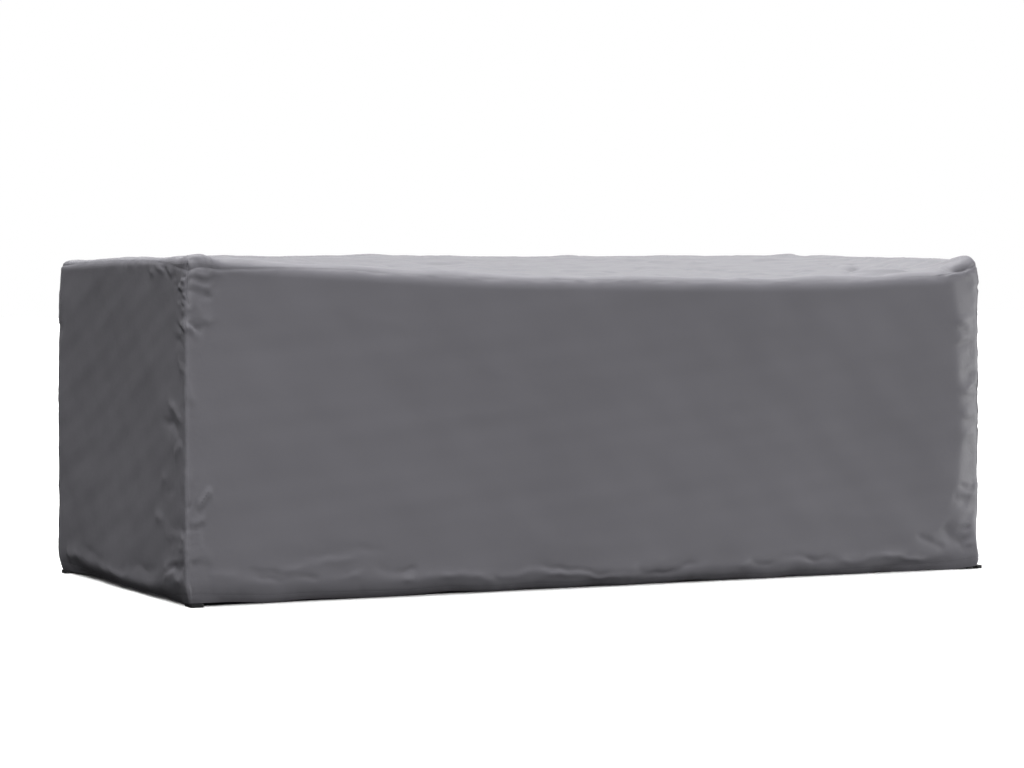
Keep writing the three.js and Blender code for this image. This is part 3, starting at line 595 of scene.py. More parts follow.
        (1150, 490, 940, 400, 15, 4.6, 1), (1140, 470, 1030, 330, 15, -4.0, 1),
        # behind the middle, along the back edge
        (-700, 400, -240, 330, 26, 4.0, 0, 20), (-150, 420, 420, 360, 28, -4.0, 0, 16),
        (500, 420, 980, 350, 26, 4.0, 0, -18), (-520, 220, -60, 260, 28, 3.6, 0),
    ],
}
print({side: len(rows) for side, rows in FOLDS.items()}, "main folds")

# %% [markdown]
# ## Puckers along the seams
#
# A seam is a little shorter than the cloth on each side of it, because the thread draws it in.
# The cloth answers with puckers: short ridges that start on the seam and die away. They stand
# 17 to 66 mm apart here, never evenly. A seeded random generator makes them, so each run of the
# script makes the same ones.

# %% Puckers along the seams
# How tight the thread of each upright seam is, and how high up its puckers go
UPRIGHTS = {"near_left": 1.0, "near_right": 0.9, "far_left": 0.8, "far_right": 0.8}
PUCKER_TOP = 880
# Heights on an upright seam with the slope of its puckers there, and with its tightness
PUCKER_SLOPE = ([60, 300, 880], [0.5, -0.2, -0.8])
TIGHTNESS = ([60, 300, 600, 880], [0.7, 0.5, 0.8, 1.25])
# Ranges of a pucker's length, height and width, and of the step to the next one
BY_UPRIGHTS = (14, 52), (0.7, 1.7), (5, 7.5), (17, 36)
UNDER_TOP_SEAM = (12, 46), (0.5, 1.2), (6, 10), (24, 62)
ABOVE_HEM_SEAM = (14, 50), (0.5, 1.5), (6, 10), (18, 52)
ON_TOP = (14, 70), (0.5, 1.3), (6, 10), (24, 66)
TROUGH = -0.8                           # a trough's height as a share of a ridge's
TOP_SEAM_END, HEM_SEAM_END = 60, 50     # this near to a corner a level seam has none


def upright_puckers(corner, strength, rng):
    """Puckers beside an upright seam, on both of its sides. They fall away from it in its
    upper part and rise away from it near the ground."""
    x_sign, y_sign, _ = CORNERS[corner]
    long_side, end_side = ("front" if y_sign < 0 else "back"), ("left" if x_sign < 0 else "right")
    lengths, heights, widths, steps = BY_UPRIGHTS
    rows = []
    for side, edge, inward in ((long_side, x_sign * HALF_L, -x_sign),
                               (end_side, y_sign * HALF_W, -y_sign)):
        h = rng.uniform(60, 90)
        while h < PUCKER_TOP:
            length = rng.uniform(*lengths)
            slope = np.interp(h, *PUCKER_SLOPE) + rng.normal(0, 0.25)
            tight = strength * np.interp(h, *TIGHTNESS)
            height = rng.choice((TROUGH, 1.0, 1.0)) * rng.uniform(*heights) * tight
            rows += placed(side, [(edge, h, edge + inward * length, h + slope * length,
                                   rng.uniform(*widths), height, 1)])
            h += rng.uniform(*steps)
    return rows


def edge_puckers(side, reach, at, across, kind, rng):
    """Puckers that start on the level line b = at of a side, from a = -reach to reach, and run
    towards across."""
    lengths, heights, widths, steps = kind
    rows = []
    a = -reach + rng.uniform(*steps) / 2
    while a < reach:
        length = rng.uniform(*lengths)
        aside = rng.normal(0, 0.35) * length
        width = rng.uniform(*widths)
        height = rng.choice((TROUGH, 1.0)) * rng.uniform(*heights)
        rows += placed(side, [(a, at, a + aside, at + across * length, width, height, 1)])
        a += rng.uniform(*steps)
    return rows


def all_puckers():
    """Every pucker of the cover, from one seed. On the top those of the two ends are worked out
    with x and y changed over, and then changed back."""
    rng = np.random.default_rng(2026)
    rows = []
    for corner, strength in UPRIGHTS.items():
        rows += upright_puckers(corner, strength, rng)
    for side, half in (("front", HALF_L), ("back", HALF_L), ("left", HALF_W), ("right", HALF_W)):
        rows += edge_puckers(side, half - TOP_SEAM_END, HEIGHT, -1, UNDER_TOP_SEAM, rng)
        rows += edge_puckers(side, half - HEM_SEAM_END, HEM_SEW, 1, ABOVE_HEM_SEAM, rng)
    for at, across, half, flip in ((-HALF_W, 1, HALF_L, False), (HALF_W, -1, HALF_L, False),
                                   (-HALF_L, 1, HALF_W, True), (HALF_L, -1, HALF_W, True)):
        made = edge_puckers("top", half - TOP_SEAM_END, at, across, ON_TOP, rng)
        if flip:
            made = [tuple(p[[1, 0, 2]] for p in row[:3]) + row[3:] for row in made]
        rows += made
    return rows


PUCKERS = all_puckers()
MAIN = [row for side, rows in FOLDS.items() for row in placed(side, rows)]
print(len(MAIN), "main folds and", len(PUCKERS), "puckers")

# %% [markdown]
# ## Adding the folds up
#
# The height of the cloth over its hanging shape is the sum of the main folds, the puckers, a
# faint unevenness of the big panels, strong creases on the loose top, a crumpled look close to
# the seams and a narrow groove along them, where the two cloths turn inwards. The groove of the
# top seam is deep where the cloth is tight, at the corners, and nearly nil along the slack
# front. Beside the upright seams the cloth also sways a little to one side and the other.

# %% The groove at the seams
GROOVE_WIDTH = 4.5                  # of the top seam
UPRIGHT_DEPTH, UPRIGHT_WIDTH = 0.35, 2.4


def seam_distance(spots):
    """Distance on the box to the top seam, to the nearest upright seam and to either."""
    x, y, h = (spots[..., k] for k in range(3))
    to_end, to_long = HALF_L - np.abs(x), HALF_W - np.abs(y)
    on_top = h >= HEIGHT
    top_seam = np.where(on_top, np.minimum(to_end, to_long), HEIGHT - h)
    upright = np.where(on_top, np.hypot(to_end, to_long), np.maximum(to_end, to_long))
    return top_seam, upright, np.where(on_top, top_seam, np.minimum(top_seam, upright))


def seam_groove(spots, top_seam, upright):
    """Depth of the groove at the seams: SEAM_DEPTH at the top seam and UPRIGHT_DEPTH at the
    upright ones, each times e^(-(distance/width)^2)."""
    x, y, h = (spots[..., k] for k in range(3))
    round_long, round_end = two_rounds(x, y)
    to_end, to_long = HALF_L - np.abs(x), HALF_W - np.abs(y)
    depth = along(SEAM_DEPTH, np.where(to_long <= to_end, round_long, round_end))
    return (depth * np.exp(-(top_seam / GROOVE_WIDTH)**2)
            + UPRIGHT_DEPTH * np.exp(-(upright / UPRIGHT_WIDTH)**2) * (h < HEIGHT))


print("the top seam's groove is up to", max(depth for _, depth in SEAM_DEPTH), "mm deep")

# %% All the unevenness of the cloth
# Strengths and reaches, in mm. Each noise below is also given its size in mm and its seed.
PANEL_WAVE, PANEL_RIPPLE = 0.5, 0.3
TOP_WAVE, TOP_CREASES, TOP_FINE_CREASES = 1.4, 20.0, 9.0
TOP_SINK = 4.0          # about the mean of the top's long creases, taken off again
TOP_REACH = 70          # how far from its seams the top is fully loose
DRAWN_OUT = np.array([0.45, 0.8, 1.0])      # shrinks x and y, so that the noise gets longer there
UPRIGHT_CRUMPLE, UPRIGHT_REACH = 1.6, 36
SEAM_CRUMPLE, SEAM_REACH = 0.8, 30
HEM_WAVE, HEM_CRUMPLE, HEM_FADES = 1.6, 0.8, (20, 95)
SEWN_DEPTH, SEWN_WIDTH = 0.6, 2.6           # the hem's stitches lie in a groove


def fold_height(spots):
    """How far the cloth stands out from its hanging shape, in mm: main folds, puckers and
    noise. Noise beside a seam is times e^(-distance/reach)."""
    moved = shaken(spots)
    top_seam, upright, seam = seam_distance(spots)
    h = spots[..., 2]
    on_top = np.where(h >= HEIGHT, smooth(0, TOP_REACH, seam), 0)
    flatter = spots * DRAWN_OUT
    height = creases(moved, MAIN) + creases(moved, PUCKERS)
    height += ((PANEL_WAVE + TOP_WAVE * on_top) * waves(flatter, 150, 31)
               + PANEL_RIPPLE * waves(flatter, 70, 32))
    height += on_top * (TOP_CREASES * crumple(flatter, 150, 34)
                        + TOP_FINE_CREASES * crumple(flatter, 60, 33) - TOP_SINK)
    height += UPRIGHT_CRUMPLE * np.exp(-upright / UPRIGHT_REACH) * crumple(spots, 40, 35)
    height += SEAM_CRUMPLE * np.exp(-seam / SEAM_REACH) * crumple(spots, 30, 36)
    hem = 1 - smooth(*HEM_FADES, h)
    height += hem * (HEM_WAVE * waves(spots, 130, 37) + HEM_CRUMPLE * crumple(spots, 46, 38))
    height -= seam_groove(spots, top_seam, upright)
    height -= SEWN_DEPTH * np.exp(-((h - HEM_SEW) / SEWN_WIDTH)**2)
    return height


middle = fold_height(np.array([[0.0, -HALF_W, 450.0]]))
print("the middle of the front is", round(float(middle[0]), 2), "mm off its hanging shape")

# %% The whole cloth
# (height, how far the upright seams sway to either side)
SWAY = {"near_left": [(0, 2.0), (80, 4.5), (240, 4.0), (330, 1.5), (620, 1.5), (700, 3.0),
                      (860, 3.0), (900, 1.0)],
        "near_right": [(0, 2.0), (120, 3.0), (330, 1.5), (400, 2.5), (700, 2.5), (900, 1.0)],
        "far_left": [(0, 1.5), (900, 1.5)], "far_right": [(0, 2.5), (900, 2.5)]}
SWAY_SIZE, SWAY_FINE = 56, 26       # lengths of the sway's slow and quick waves
FINE_SHARE = 0.3                    # strength of the quick ones
SWAY_REACH = 26                     # how far from the seam the cloth sways with it
LOWEST = 0.8                        # no cloth hangs lower than this


def covered(x, y, h):
    """Place of the cloth in mm with all its folds: the hanging place, and the height of the
    folds along the way out, and the sway level and square to that way."""
    box = np.stack(np.broadcast_arrays(x, y, h), -1).astype(float)
    spot, way = hang(x, y, h)
    upright = seam_distance(box)[1]
    sway = np.zeros_like(upright)
    up = box * np.array([0, 0, 1.0])
    for k, (corner, (x_sign, y_sign, _)) in enumerate(CORNERS.items()):
        here = (box[..., 0] * x_sign > 0) & (box[..., 1] * y_sign > 0)
        wave = waves(up, SWAY_SIZE, 41 + k) + FINE_SHARE * waves(up, SWAY_FINE, 51 + k)
        sway += np.where(here, along(SWAY[corner], box[..., 2]) * wave, 0)
    sway *= np.exp(-upright / SWAY_REACH)
    side = np.stack([-way[..., 1], way[..., 0], np.zeros_like(sway)], -1)
    spot = spot + way * fold_height(box)[..., None] + side * sway[..., None]
    spot[..., 2] = np.maximum(spot[..., 2], LOWEST)
    return spot


corner = covered(np.array([-HALF_L]), np.array([-HALF_W]), np.array([HEIGHT]))
print("near left top corner with its folds, mm:", corner.round(1).tolist())

# %% [markdown]
# ## From places to cloth
#
# Each panel is a grid of places. Its lines lie under 3 mm apart beside the seams, where the
# puckers are, and nearly 9 mm apart in the middle, so that no panel gets too heavy. Where two
# panels meet, both get the same way out, so that the light runs on over the seam.

# %% The panels' grids
FINE, COARSE, GRADING = 2.6, 8.7, 70            # steps at a seam and far from it, and the reach
COARSE_DOWN, GRADING_DOWN = 8.4, 80             # the last two from the top seam to the hem
SAMPLES = 6001                                  # on which the steps are added up


def graded(length, fine, coarse, reach):
    """Grid lines from 0 to length. The step grows from fine at both ends to coarse, as
    coarse - (coarse - fine) * e^(-distance/reach)."""
    d = np.linspace(0, length, SAMPLES)
    step = coarse - (coarse - fine) * (np.exp(-d / reach) + np.exp(-(length - d) / reach))
    count = np.concatenate([[0], np.cumsum(np.diff(d) / step[1:])])
    return np.interp(np.linspace(0, count[-1], int(count[-1]) + 1), count, d)


LINES_X = graded(LENGTH, FINE, COARSE, GRADING) - HALF_L
LINES_Y = graded(WIDTH, FINE, COARSE, GRADING) - HALF_W
LINES_H = HEIGHT - graded(HEIGHT, FINE, COARSE_DOWN, GRADING_DOWN)

# Each panel's columns, rows and way onto the box. Going from a column to the next and then to
# the next row, the outside of the cloth is on the right hand.
PANELS = {
    "top_panel": (LINES_X, LINES_Y, "top"),
    "front_panel": (LINES_X, LINES_H, "front"),
    "back_panel": (LINES_X[::-1], LINES_H, "back"),
    "right_end_panel": (LINES_Y, LINES_H, "right"),
    "left_end_panel": (LINES_Y[::-1], LINES_H, "left"),
}


def panel_points(side, columns, rows):
    """Grid of places of a panel, row after row. The top's rows run from the back forwards."""
    a, b = np.meshgrid(columns, rows[::-1] if side == "top" else rows)
    return covered(*ON[side](a, b)), a, b


def grid_normals(points):
    """Way out at each grid point: the cross product of the steps to the next row and column."""
    down, across = np.gradient(points, axis=0), np.gradient(points, axis=1)
    return unit(np.cross(down, across))


grids = {name: panel_points(side, cols, rows) for name, (cols, rows, side) in PANELS.items()}
normals = {name: grid_normals(points) for name, (points, _, _) in grids.items()}
print({name: points.shape[:2] for name, (points, _, _) in grids.items()}, "rows and columns")

# %% One way out along each seam
ROW0, COL0, ROWN, COLN = np.s_[0, :], np.s_[:, 0], np.s_[-1, :], np.s_[:, -1]
# Two panels and their shared edges. The second edge is read backwards where the number is -1.
SEAMS = [
    ("top_panel", ROWN, "front_panel", ROW0, 1),
    ("top_panel", ROW0, "back_panel", ROW0, -1),
    ("top_panel", COLN, "right_end_panel", ROW0, -1),
    ("top_panel", COL0, "left_end_panel", ROW0, 1),
    ("front_panel", COL0, "left_end_panel", COLN, 1),
    ("front_panel", COLN, "right_end_panel", COL0, 1),
    ("back_panel", COL0, "right_end_panel", COLN, 1),
    ("back_panel", COLN, "left_end_panel", COL0, 1),
]
worst = 0.0
for one, edge, other, other_edge, turn in SEAMS:
    gap = grids[one][0][edge] - grids[other][0][other_edge][::turn]
    worst = max(worst, float(np.abs(gap).max()))
    shared = unit(normals[one][edge] + normals[other][other_edge][::turn])
    normals[one][edge] = shared
    normals[other][other_edge] = shared[::turn]
print("panels meet within", round(worst, 3), "mm")

# %% [markdown]
# ## Meshes from arrays
#
# Blender can take a mesh one point at a time, but hundreds of thousands of points are much
# quicker as whole arrays. foreach_set copies an array straight into the mesh: first the places
# of the points, then the number of the point at each corner of each face, then where each
# face starts in that list.

# %% Meshes from arrays
METRES = 0.001         # a millimetre in Blender's unit


def mesh_object(name, points, quads, uv=None, sharp=None):
    """New object from points (n, 3) in mm and quads (m, 4), smooth, with an optional UV for
    each quad corner. sharp is a list of point pairs whose edges stay crisp."""
    mesh = bpy.data.meshes.new(name)
    mesh.vertices.add(len(points))
    mesh.vertices.foreach_set("co", (points * METRES).astype(np.float32).ravel())
    mesh.loops.add(quads.size)
    mesh.loops.foreach_set("vertex_index", quads.astype(np.int32).ravel())
    mesh.polygons.add(len(quads))
    starts = np.arange(0, quads.size, quads.shape[1], dtype=np.int32)
    mesh.polygons.foreach_set("loop_start", starts)
    mesh.polygons.foreach_set("use_smooth", np.ones(len(quads), bool))
    if uv is not None:
        layer = mesh.uv_layers.new(name="cloth")
        layer.data.foreach_set("uv", uv.astype(np.float32).ravel())
    mesh.update(calc_edges=True)
    if sharp is not None:
        ends = np.empty(2 * len(mesh.edges), np.int32)
        mesh.edges.foreach_get("vertices", ends)
        code = np.sort(ends.reshape(-1, 2), axis=1) @ np.array([len(points), 1])
        wanted = np.sort(sharp, axis=1) @ np.array([len(points), 1])
        mark = mesh.attributes.new("sharp_edge", "BOOLEAN", "EDGE")
        mark.data.foreach_set("value", np.isin(code, wanted))
    mesh.validate()
    obj = bpy.data.objects.new(name, mesh)
    bpy.context.collection.objects.link(obj)
    return obj


def grid_quads(rows, columns):
    """Quads of a grid whose points are stored row after row, outside on the right hand."""
    a = (np.arange(rows - 1)[:, None] * columns + np.arange(columns - 1)).ravel()
    return np.stack([a, a + columns, a + columns + 1, a + 1], -1)


def tube_quads(rings, sides):
    """Quads of a tube whose points are stored ring after ring."""
    i, j = (g.ravel() for g in np.meshgrid(np.arange(rings - 1), np.arange(sides), indexing="ij"))
    step = (j + 1) % sides
    return np.stack([i * sides + j, i * sides + step, (i + 1) * sides + step,
                     (i + 1) * sides + j], -1)


print("3 rows of 4 points make", len(grid_quads(3, 4)), "quads, and 3 rings of 4 points",
      len(tube_quads(3, 4)))

# %% [markdown]
# ## Closed sheets of cloth
#
# The same grid again, a cloth's thickness further in, makes the inner side of a panel, and a
# narrow rim joins the two. The Solidify modifier would do this as well, but it can't draw the
# seam edges back to leave a seam line, or give two panels the same direction of thickness where
# they meet.
#
# Each point also gets two numbers that the finish reads later: how sharply the cloth is bent
# there, which the finish turns into painted highlight and painted shade, and how near it is to
# an upright seam.

# %% Closed sheets of cloth
RIM_STEPS = 2          # points of the rim between the outer and the inner side
SEAM_GAP = 0.05        # how far each panel is drawn back from a seam line
SHARP_RADIUS = 22.0    # a fold of this radius or less counts as fully sharp
GATHER_REACH = 70      # how far from an upright seam its fine crinkles fade
# Each edge of a grid, and the grid line beside it
EDGES = ((ROW0, np.s_[1, :]), (COL0, np.s_[:, 1]), (COLN, np.s_[:, -2]), (ROWN, np.s_[-2, :]))


def rim_order(rows, columns):
    """Indices of a grid's edge points in order round it, corners once."""
    grid = np.arange(rows * columns).reshape(rows, columns)
    return np.concatenate([grid[0, :-1], grid[:-1, -1], grid[-1, :0:-1], grid[:0:-1, 0]])


def crests(points, out):
    """How much the cloth is bent outwards at each grid point, from -1 in a sharp trough to 1 on
    a sharp crest: the way its normal turns from one grid line to the next, both ways."""
    bend = 0.0
    for axis in (0, 1):
        step, turn = np.gradient(points, axis=axis), np.gradient(out, axis=axis)
        bend = bend + np.sum(step * turn, axis=-1) / np.sum(step * step, axis=-1)
    return np.clip(bend * SHARP_RADIUS, -1, 1)


def over_sheet(grid, ring):
    """A panel's grid of numbers, row after row, as they go over the outer side, the inner side
    and the rim."""
    return np.concatenate([grid, grid] + [grid[ring]] * RIM_STEPS)


def sheet_shape(points, out, has_hem):
    """Points and quads of a panel as a closed sheet: outer grid, inner grid a cloth's thickness
    in, and a rim. A ring of the rim is middle + cos * half of the thickness + sin * swell. The
    rim swells out by half the thickness at the hem, and not at a seam, whose edges are drawn
    back by SEAM_GAP. Also gives the outer grid and the rings, from the outer to the inner side."""
    rows, columns, _ = points.shape
    outer, away = points.copy(), np.zeros_like(points)
    for edge, beside in EDGES:
        outwards = points[edge] - points[beside]
        away[edge] += outwards
        if not (has_hem and edge is ROWN):
            outer[edge] -= SEAM_GAP * unit(outwards)
    inner = outer - CLOTH * out
    count = rows * columns
    ring = rim_order(rows, columns)
    swell = np.where(has_hem & (ring >= count - columns), 0.5 * CLOTH, 0.0)
    away = unit(away.reshape(-1, 3)[ring])
    parts = [outer.reshape(-1, 3), inner.reshape(-1, 3)]
    middle, half = 0.5 * (parts[0][ring] + parts[1][ring]), 0.5 * (parts[0][ring] - parts[1][ring])
    rings = [ring]
    for k in range(RIM_STEPS):
        turn = math.pi * (k + 1) / (RIM_STEPS + 1)
        rings.append(2 * count + k * len(ring) + np.arange(len(ring)))
        parts.append(middle + math.cos(turn) * half + math.sin(turn) * swell[:, None] * away)
    rings.append(ring + count)
    outside = grid_quads(rows, columns)
    quads = [outside, outside[:, ::-1] + count]
    for one, other in zip(rings, rings[1:]):
        quads.append(np.stack([one, np.roll(one, -1), np.roll(other, -1), other], -1))
    return np.concatenate(parts), np.concatenate(quads), outer, rings


def cloth_sheet(name):
    """A panel as a closed sheet, with its flat place in metres as its UV, crisp edges along its
    rim and the two numbers for its finish. Also gives 1 for each face of the inner side."""
    points, a, b = grids[name]
    points, quads, outer, rings = sheet_shape(points, normals[name], name != "top_panel")
    flat = over_sheet(np.stack([a, b], -1).reshape(-1, 2) * METRES, rings[0])
    sharp = [np.stack([ring, np.roll(ring, -1)], -1) for ring in (rings[0], rings[-1])]
    obj = mesh_object(name + "_cloth", points, quads, flat[quads.ravel()], np.concatenate(sharp))
    box = np.stack(np.broadcast_arrays(*ON[PANELS[name][2]](a, b)), -1)
    near_upright = np.exp(-seam_distance(box)[1] / GATHER_REACH)
    for label, grid in (("crest", crests(outer, normals[name])), ("gather", near_upright)):
        values = over_sheet(grid.ravel(), rings[0]).astype(np.float32)
        obj.data.attributes.new(label, "FLOAT", "POINT").data.foreach_set("value", values)
    side_faces = (a.shape[0] - 1) * (a.shape[1] - 1)
    inside = np.zeros(len(quads), np.int32)
    inside[side_faces:2 * side_faces] = 1
    return obj, inside


panels = {name: cloth_sheet(name) for name in PANELS}
for obj, _ in panels.values():
    print(obj.name, len(obj.data.polygons) * 2, "triangles")

# %% [markdown]
# ## The cloth itself
#
# The cloth is a coated polyester weave. From a step away it is a smooth satin grey, and light
# that only grazes it comes back nearly white, which is why the top looks so pale. Close up it
# has a plain weave that repeats about every millimetre.
#
# The weave is drawn in the cloth's own lengths and widths, the UV that each panel got in
# metres, so it turns with the cloth. The colour is painted a little paler on sharp crests and on
# the weave's raised threads, and darker in sharp troughs and in the weave's hollows: painted
# highlight and painted shade. The inner side is plain and duller, so it is a second material.
#
# A surface finish is a small tree of nodes. Two helpers keep the trees short to write: one
# sets or links the inputs of a node, and one makes a node and gives one of its outputs.

# %% Helpers for materials
def node_tools(tree):
    """Two functions for a node tree. put takes a node's inputs by name or number: a socket is
    linked, and anything else is set. add makes a node, fills it so and gives an output."""
    def put(node, inputs):
        for key, value in inputs.items():
            socket = node.inputs[key]
            if isinstance(value, bpy.types.NodeSocket):
                tree.links.new(value, socket)
            else:
                socket.default_value = value

    def add(kind, inputs, out=0, **settings):
        node = tree.nodes.new("ShaderNode" + kind)
        for key, value in settings.items():
            setattr(node, key, value)
        put(node, inputs)
        return node.outputs[out]

    return put, add


def new_material(name, colour, roughness, specular):
    """A material with one principled shader, a function that adds a node to it, and one that
    sets or links the shader's own inputs."""
    material = bpy.data.materials.new(name)
    material.use_nodes = True
    shader = material.node_tree.nodes["Principled BSDF"]
    put, add = node_tools(material.node_tree)
    put(shader, {"Base Color": (*colour, 1), "Roughness": roughness,
                 "Specular IOR Level": specular})
    return material, add, lambda inputs: put(shader, inputs)


def maths(add, operation, a, b=0.0):
    """One Math node."""
    return add("Math", {0: a, 1: b}, operation=operation)


def weave(add, pitch_u, pitch_v):
    """Height of a plain weave from 0 to 1: half of sine across times sine along the cloth, and
    a half. The places are read from the panel's own UV."""
    uv = add("UVMap", {}, uv_map="cloth")
    split = add("SeparateXYZ", {0: uv}).node
    across = maths(add, "SINE", maths(add, "MULTIPLY", split.outputs[0], 2 * math.pi / pitch_u))
    along_ = maths(add, "SINE", maths(add, "MULTIPLY", split.outputs[1], 2 * math.pi / pitch_v))
    both = maths(add, "MULTIPLY", across, along_)
    return add("Math", {0: both, 1: 0.5, 2: 0.5}, operation="MULTIPLY_ADD")


def ramp(add, value, low, high, start, end):
    """value from low to high taken to start to end, and no further."""
    return add("MapRange", {0: value, 1: low, 2: high, 3: start, 4: end})


def noisy(add, noise, start, end):
    """Noise, nearly all of which is from 0.3 to 0.7, taken to start to end."""
    return ramp(add, noise, 0.3, 0.7, start, end)


def tinted(add, light, colour):
    """A colour times a factor that changes over the surface."""
    return add("CombineXYZ", {k: maths(add, "MULTIPLY", light, c) for k, c in enumerate(colour)})


# %% Cloth, thread, webbing and moulded plastic
CLOTH_GREY, INSIDE_GREY = (0.150, 0.147, 0.163), (0.085, 0.084, 0.09)
THREAD_GREY, TAPE_BLACK = (0.19, 0.187, 0.205), (0.012, 0.012, 0.014)
PLASTIC_BLACK = (0.010, 0.010, 0.011)
WEAVE = 0.0011                      # metres after which the cloth's weave repeats
RIB, TAPE_THREAD = 0.0018, 0.0016   # the same across and along the tape
# Depths that only the light shows, in metres
FINE_CRINKLE, WEAVE_DEPTH, BACK_DEPTH = 0.0012, 0.00005, 0.00008
TWIST_DEPTH, RIB_DEPTH, GRAIN_DEPTH = 0.0001, 0.0004, 0.00012


def cover_cloth():
    """The outer side: satin grey, weave, a faint unevenness, a painted highlight on sharp crests
    and painted shade in sharp troughs, and crinkles too fine for the mesh, strongest beside the
    upright seams."""
    material, add, shade = new_material("satin_cover_cloth", CLOTH_GREY, 0.5, 0.3)
    spot = add("TexCoord", {}, out="Object")
    broad = add("TexNoise", {"Vector": spot, "Scale": 2.2, "Detail": 3.0, "Roughness": 0.55})
    crest = add("Attribute", {}, out="Fac", attribute_name="crest")
    gather = add("Attribute", {}, out="Fac", attribute_name="gather")
    threads = weave(add, WEAVE, WEAVE)
    # painted highlight on sharp crests and painted shade in sharp troughs, read from how the cloth
    # is bent
    fold_shade_and_highlight = ramp(add, crest, -1.0, 1.0, -0.09, 0.09)
    light = maths(add, "ADD", noisy(add, broad, 0.96, 1.04), fold_shade_and_highlight)
    # painted shade in the weave's hollows and painted highlight on its raised threads, from the
    # weave's height
    light = maths(add, "ADD", light, ramp(add, threads, 0.0, 1.0, -0.05, 0.05))
    fine = add("TexNoise", {"Vector": spot, "Scale": 42.0, "Detail": 2.0, "Roughness": 0.6})
    small = add("TexNoise", {"Vector": spot, "Scale": 95.0, "Detail": 3.0, "Roughness": 0.6})
    rough = maths(add, "ADD", noisy(add, broad, 0.47, 0.53), noisy(add, fine, -0.02, 0.02))
    amount = ramp(add, gather, 0.0, 1.0, 0.06, 0.6)
    crinkled = maths(add, "MULTIPLY", amount, maths(add, "ADD", fine, small))
    bump = add("Bump", {"Strength": 1.0, "Distance": FINE_CRINKLE, "Height": crinkled})
    bump = add("Bump", {"Strength": 1.0, "Distance": WEAVE_DEPTH, "Height": threads,
                        "Normal": bump})
    shade({"Base Color": tinted(add, light, CLOTH_GREY), "Roughness": rough, "Normal": bump})
    return material


def cloth_inside():
    """The inner side: the plain back of the weave, duller and darker."""
    material, add, shade = new_material("cover_cloth_inside", INSIDE_GREY, 0.78, 0.2)
    threads = weave(add, WEAVE, WEAVE)
    shade({"Normal": add("Bump", {"Strength": 1.0, "Distance": BACK_DEPTH, "Height": threads})})
    return material


def sewing_thread():
    """Polyester thread a shade lighter than the cloth, with a twist too fine to model."""
    material, add, shade = new_material("sewing_thread", THREAD_GREY, 0.6, 0.3)
    spot = add("TexCoord", {}, out="Object")
    twist = add("TexNoise", {"Vector": spot, "Scale": 900.0, "Detail": 1.0})
    shade({"Normal": add("Bump", {"Strength": 0.6, "Distance": TWIST_DEPTH, "Height": twist})})
    return material


def black_webbing():
    """Woven tape: ribs across it and threads along it, dull and nearly black, painted darker
    between the ribs and paler on their tops: painted shade and painted sheen.
    """
    material, add, shade = new_material("black_webbing", TAPE_BLACK, 0.75, 0.3)
    ribs = weave(add, RIB, TAPE_THREAD)
    spot = add("TexCoord", {}, out="Object")
    fuzz = add("TexNoise", {"Vector": spot, "Scale": 700.0, "Detail": 2.0})
    # painted shade between the ribs and painted sheen on their tops, from the ribs' height
    rib_shade_and_sheen = ramp(add, ribs, 0.0, 1.0, 0.55, 1.5)
    light = maths(add, "MULTIPLY", rib_shade_and_sheen, noisy(add, fuzz, 0.8, 1.2))
    shade({"Base Color": tinted(add, light, TAPE_BLACK),
           "Normal": add("Bump", {"Strength": 1.0, "Distance": RIB_DEPTH, "Height": ribs})})
    return material


def moulded_plastic():
    """Black moulded plastic with a fine spark-eroded grain and slightly scuffed roughness."""
    material, add, shade = new_material("moulded_plastic", PLASTIC_BLACK, 0.42, 0.45)
    spot = add("TexCoord", {}, out="Object")
    grain = add("TexNoise", {"Vector": spot, "Scale": 2200.0, "Detail": 2.0})
    scuff = add("TexNoise", {"Vector": spot, "Scale": 140.0, "Detail": 4.0, "Roughness": 0.65})
    shade({"Roughness": ramp(add, scuff, 0.35, 0.7, 0.36, 0.58),
           "Normal": add("Bump", {"Strength": 0.5, "Distance": GRAIN_DEPTH, "Height": grain})})
    return material


CLOTH_OUT, CLOTH_IN, THREAD = cover_cloth(), cloth_inside(), sewing_thread()
WEBBING, PLASTIC = black_webbing(), moulded_plastic()
print([m.name for m in (CLOTH_OUT, CLOTH_IN, THREAD, WEBBING, PLASTIC)])

# %% The panels get their finish
for name, (obj, inside) in panels.items():
    obj.data.materials.append(CLOTH_OUT)
    obj.data.materials.append(CLOTH_IN)
    obj.data.polygons.foreach_set("material_index", inside)
    obj.data.update()
print(len(panels), "panels in", CLOTH_OUT.name, "with", CLOTH_IN.name, "on their inner sides")

# %% [markdown]
# ## Stitching
#
# The seams are topstitched 6 mm from the seam line, and a row of stitches holds the hem. Each
# stitch is a tiny spindle that dives into the cloth at both ends. There are more than three
# thousand, so they have a few faces each, and those of a panel are joined into one mesh.

# %% Rows of stitches
STITCH_LENGTH, STITCH_PITCH, THREAD_RADIUS = 4.2, 5.2, 0.42
LOOK = 1.5             # how far to either side of a stitch its direction is measured
# Rings of a stitch: share of its length, then girth and lift in thread radii
SPINDLE = [(-0.5, 0.35, -0.9), (-0.3, 1.0, 0.25), (0.3, 1.0, 0.25), (0.5, 0.35, -0.9)]
TURNED_OVER = [0, 3, 2, 1]      # a quad's corners the other way round, from the same one


def lengths_along(line):
    """Distance along a line to each of its points: the running sum of the steps' lengths."""
    return np.concatenate([[0], np.cumsum(np.linalg.norm(np.diff(line, axis=0), axis=1))])


